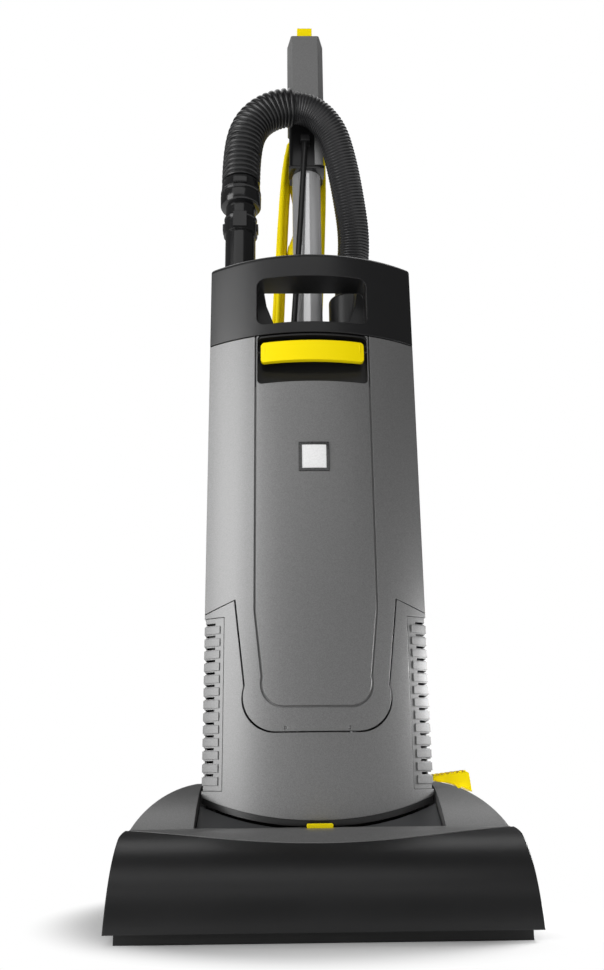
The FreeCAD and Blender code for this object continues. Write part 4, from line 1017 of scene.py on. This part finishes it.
# Stage -----------------------------------------------------------------------------------
@dataclass
class Softbox:
    """One rectangular studio light."""

    name: str
    place: Point
    aim: Point
    size: tuple[float, float]
    power: float

    def build(self) -> None:
        """Adds the light."""
        data = bpy.data.lights.new(self.name, "AREA")
        data.shape = "RECTANGLE"
        data.size, data.size_y = self.size
        data.energy = self.power
        lamp = bpy.data.objects.new(self.name, data)
        lamp.location = self.place
        lamp.rotation_euler = (Vector(self.aim) - Vector(self.place)).to_track_quat("-Z", "Y").to_euler()
        bpy.context.scene.collection.objects.link(lamp)


@dataclass
class Studio:
    """Camera, floor and lights."""

    lens: float = 35.04
    eye: Point = (-0.033, -1.077, 0.1445)
    tilt: float = math.radians(16.9)
    turn: float = math.radians(1.1)
    roll: float = math.radians(-0.6)
    white: float = 1.0
    fill: float = 0.10
    shadow_half: tuple[float, float] = (0.30, 0.30)
    shadow_edge: float = 0.72
    floor_drop: float = 0.0002

    def build(self) -> None:
        """Adds the camera, the floor, the surroundings and the lights."""
        scene = bpy.context.scene
        data = bpy.data.cameras.new("camera")
        data.lens = self.lens
        data.sensor_width = 36.0
        data.sensor_fit = "AUTO"
        data.clip_start = 0.01
        camera = bpy.data.objects.new("camera", data)
        facing = Euler((math.pi / 2 + self.tilt, 0.0, -self.turn), "XYZ").to_matrix()
        rolled = facing @ Matrix.Rotation(self.roll, 3, "Z")
        camera.matrix_world = Matrix.Translation(self.eye) @ rolled.to_4x4()
        scene.collection.objects.link(camera)
        scene.camera = camera
        scene.view_settings.view_transform = "Standard"
        self.floor()
        self.surroundings(scene)
        for box in (
                Softbox("left_box", (-1.60, -0.95, 0.65), (0.0, 0.0, 0.42), (1.0, 2.0), 29.0),
                Softbox("shoulder_box", (0.44, 0.02, 0.26), (0.16, -0.02, 0.10), (0.20, 0.12), 2.0),
                Softbox("front_box", (-0.1, -1.6, 0.95), (0.0, -0.1, 0.05), (2.4, 0.16), 1.6),
                Softbox("tube_box", (-0.35, -1.3, 1.75), (0.0, 0.09, 0.95), (1.9, 0.8), 4.2),
                Softbox("top_box", (0.0, 0.55, 2.1), (0.0, 0.0, 0.2), (1.6, 0.8), 6.0)):
            box.build()

    def floor(self) -> None:
        """Adds the pale floor."""
        bpy.ops.object.select_all(action="DESELECT")
        bpy.ops.mesh.primitive_plane_add(size=30.0, location=(0.0, 0.0, -self.floor_drop))
        ground = bpy.context.active_object
        ground.name = "floor"
        ground.data.materials.append(self.floor_finish())

    def floor_finish(self) -> bpy.types.Material:
        """White paper that shows the soft shadow near the machine and shines white further out.

        Returns:
            The material.
        """
        tree = Tree("floor")
        where = tree.place((1.0 / self.shadow_half[0], 1.0 / self.shadow_half[1], 1.0))
        reach = tree.node("ShaderNodeVectorMath", {"operation": "LENGTH"}, {0: where}, out="Value")
        mask = tree.node("ShaderNodeMapRange", {"interpolation_type": "SMOOTHSTEP"}, {
            "Value": reach, "From Min": self.shadow_edge, "From Max": 1.0, "To Min": 0.0, "To Max": 1.0})
        grain = tree.noise(0.4, 2.0)
        tree.shell(tree.mix(grain, (0.94, 0.94, 0.94), (0.96, 0.96, 0.96)), 0.6)
        paper = tree.material.node_tree.nodes["Principled BSDF"]
        glow = tree.nodes.new("ShaderNodeEmission")
        blend = tree.nodes.new("ShaderNodeMixShader")
        tree.links.new(mask.socket, blend.inputs[0])
        tree.links.new(paper.outputs[0], blend.inputs[1])
        tree.links.new(glow.outputs[0], blend.inputs[2])
        tree.links.new(blend.outputs[0], tree.nodes["Material Output"].inputs[0])
        return tree.material

    def surroundings(self, scene: bpy.types.Scene) -> None:
        """White behind everything, and softer white light from all round.

        Args:
            scene: the scene that gets the surroundings.
        """
        world = bpy.data.worlds.new("studio")
        world.use_nodes = True
        nodes = world.node_tree.nodes
        links = world.node_tree.links
        nodes.clear()
        path = nodes.new("ShaderNodeLightPath")
        seen = nodes.new("ShaderNodeBackground")
        seen.inputs[1].default_value = self.white
        light = nodes.new("ShaderNodeBackground")
        light.inputs[1].default_value = self.fill
        for shader in (seen, light):
            shader.inputs[0].default_value = (1.0, 1.0, 1.0, 1.0)
        mix = nodes.new("ShaderNodeMixShader")
        out = nodes.new("ShaderNodeOutputWorld")
        links.new(path.outputs["Is Camera Ray"], mix.inputs[0])
        links.new(light.outputs[0], mix.inputs[1])
        links.new(seen.outputs[0], mix.inputs[2])
        links.new(mix.outputs[0], out.inputs[0])
        scene.world = world


def dress_frame(paint: dict[str, bpy.types.Material]) -> None:
    """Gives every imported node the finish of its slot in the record.

    Args:
        paint: the finishes by slot.
    """
    for entry in frame["record"]["subparts"]:
        node = frame["nodes"][entry["node"]]
        node.data.materials.clear()
        node.data.materials.append(paint[entry["material_slot"]])


def main() -> None:
    """Builds the machine and its stage."""
    logging.basicConfig(level=logging.INFO)
    paint = finishes()
    Studio().build()
    dress_frame(paint)
    for assembly in (MainsCord(), SuctionHose(), SwitchCable(), WandFittings(), ShellTrim()):
        assembly.build(paint)
        LOG.info("%s built", type(assembly).__name__)


if __name__ == "__main__":
    main()
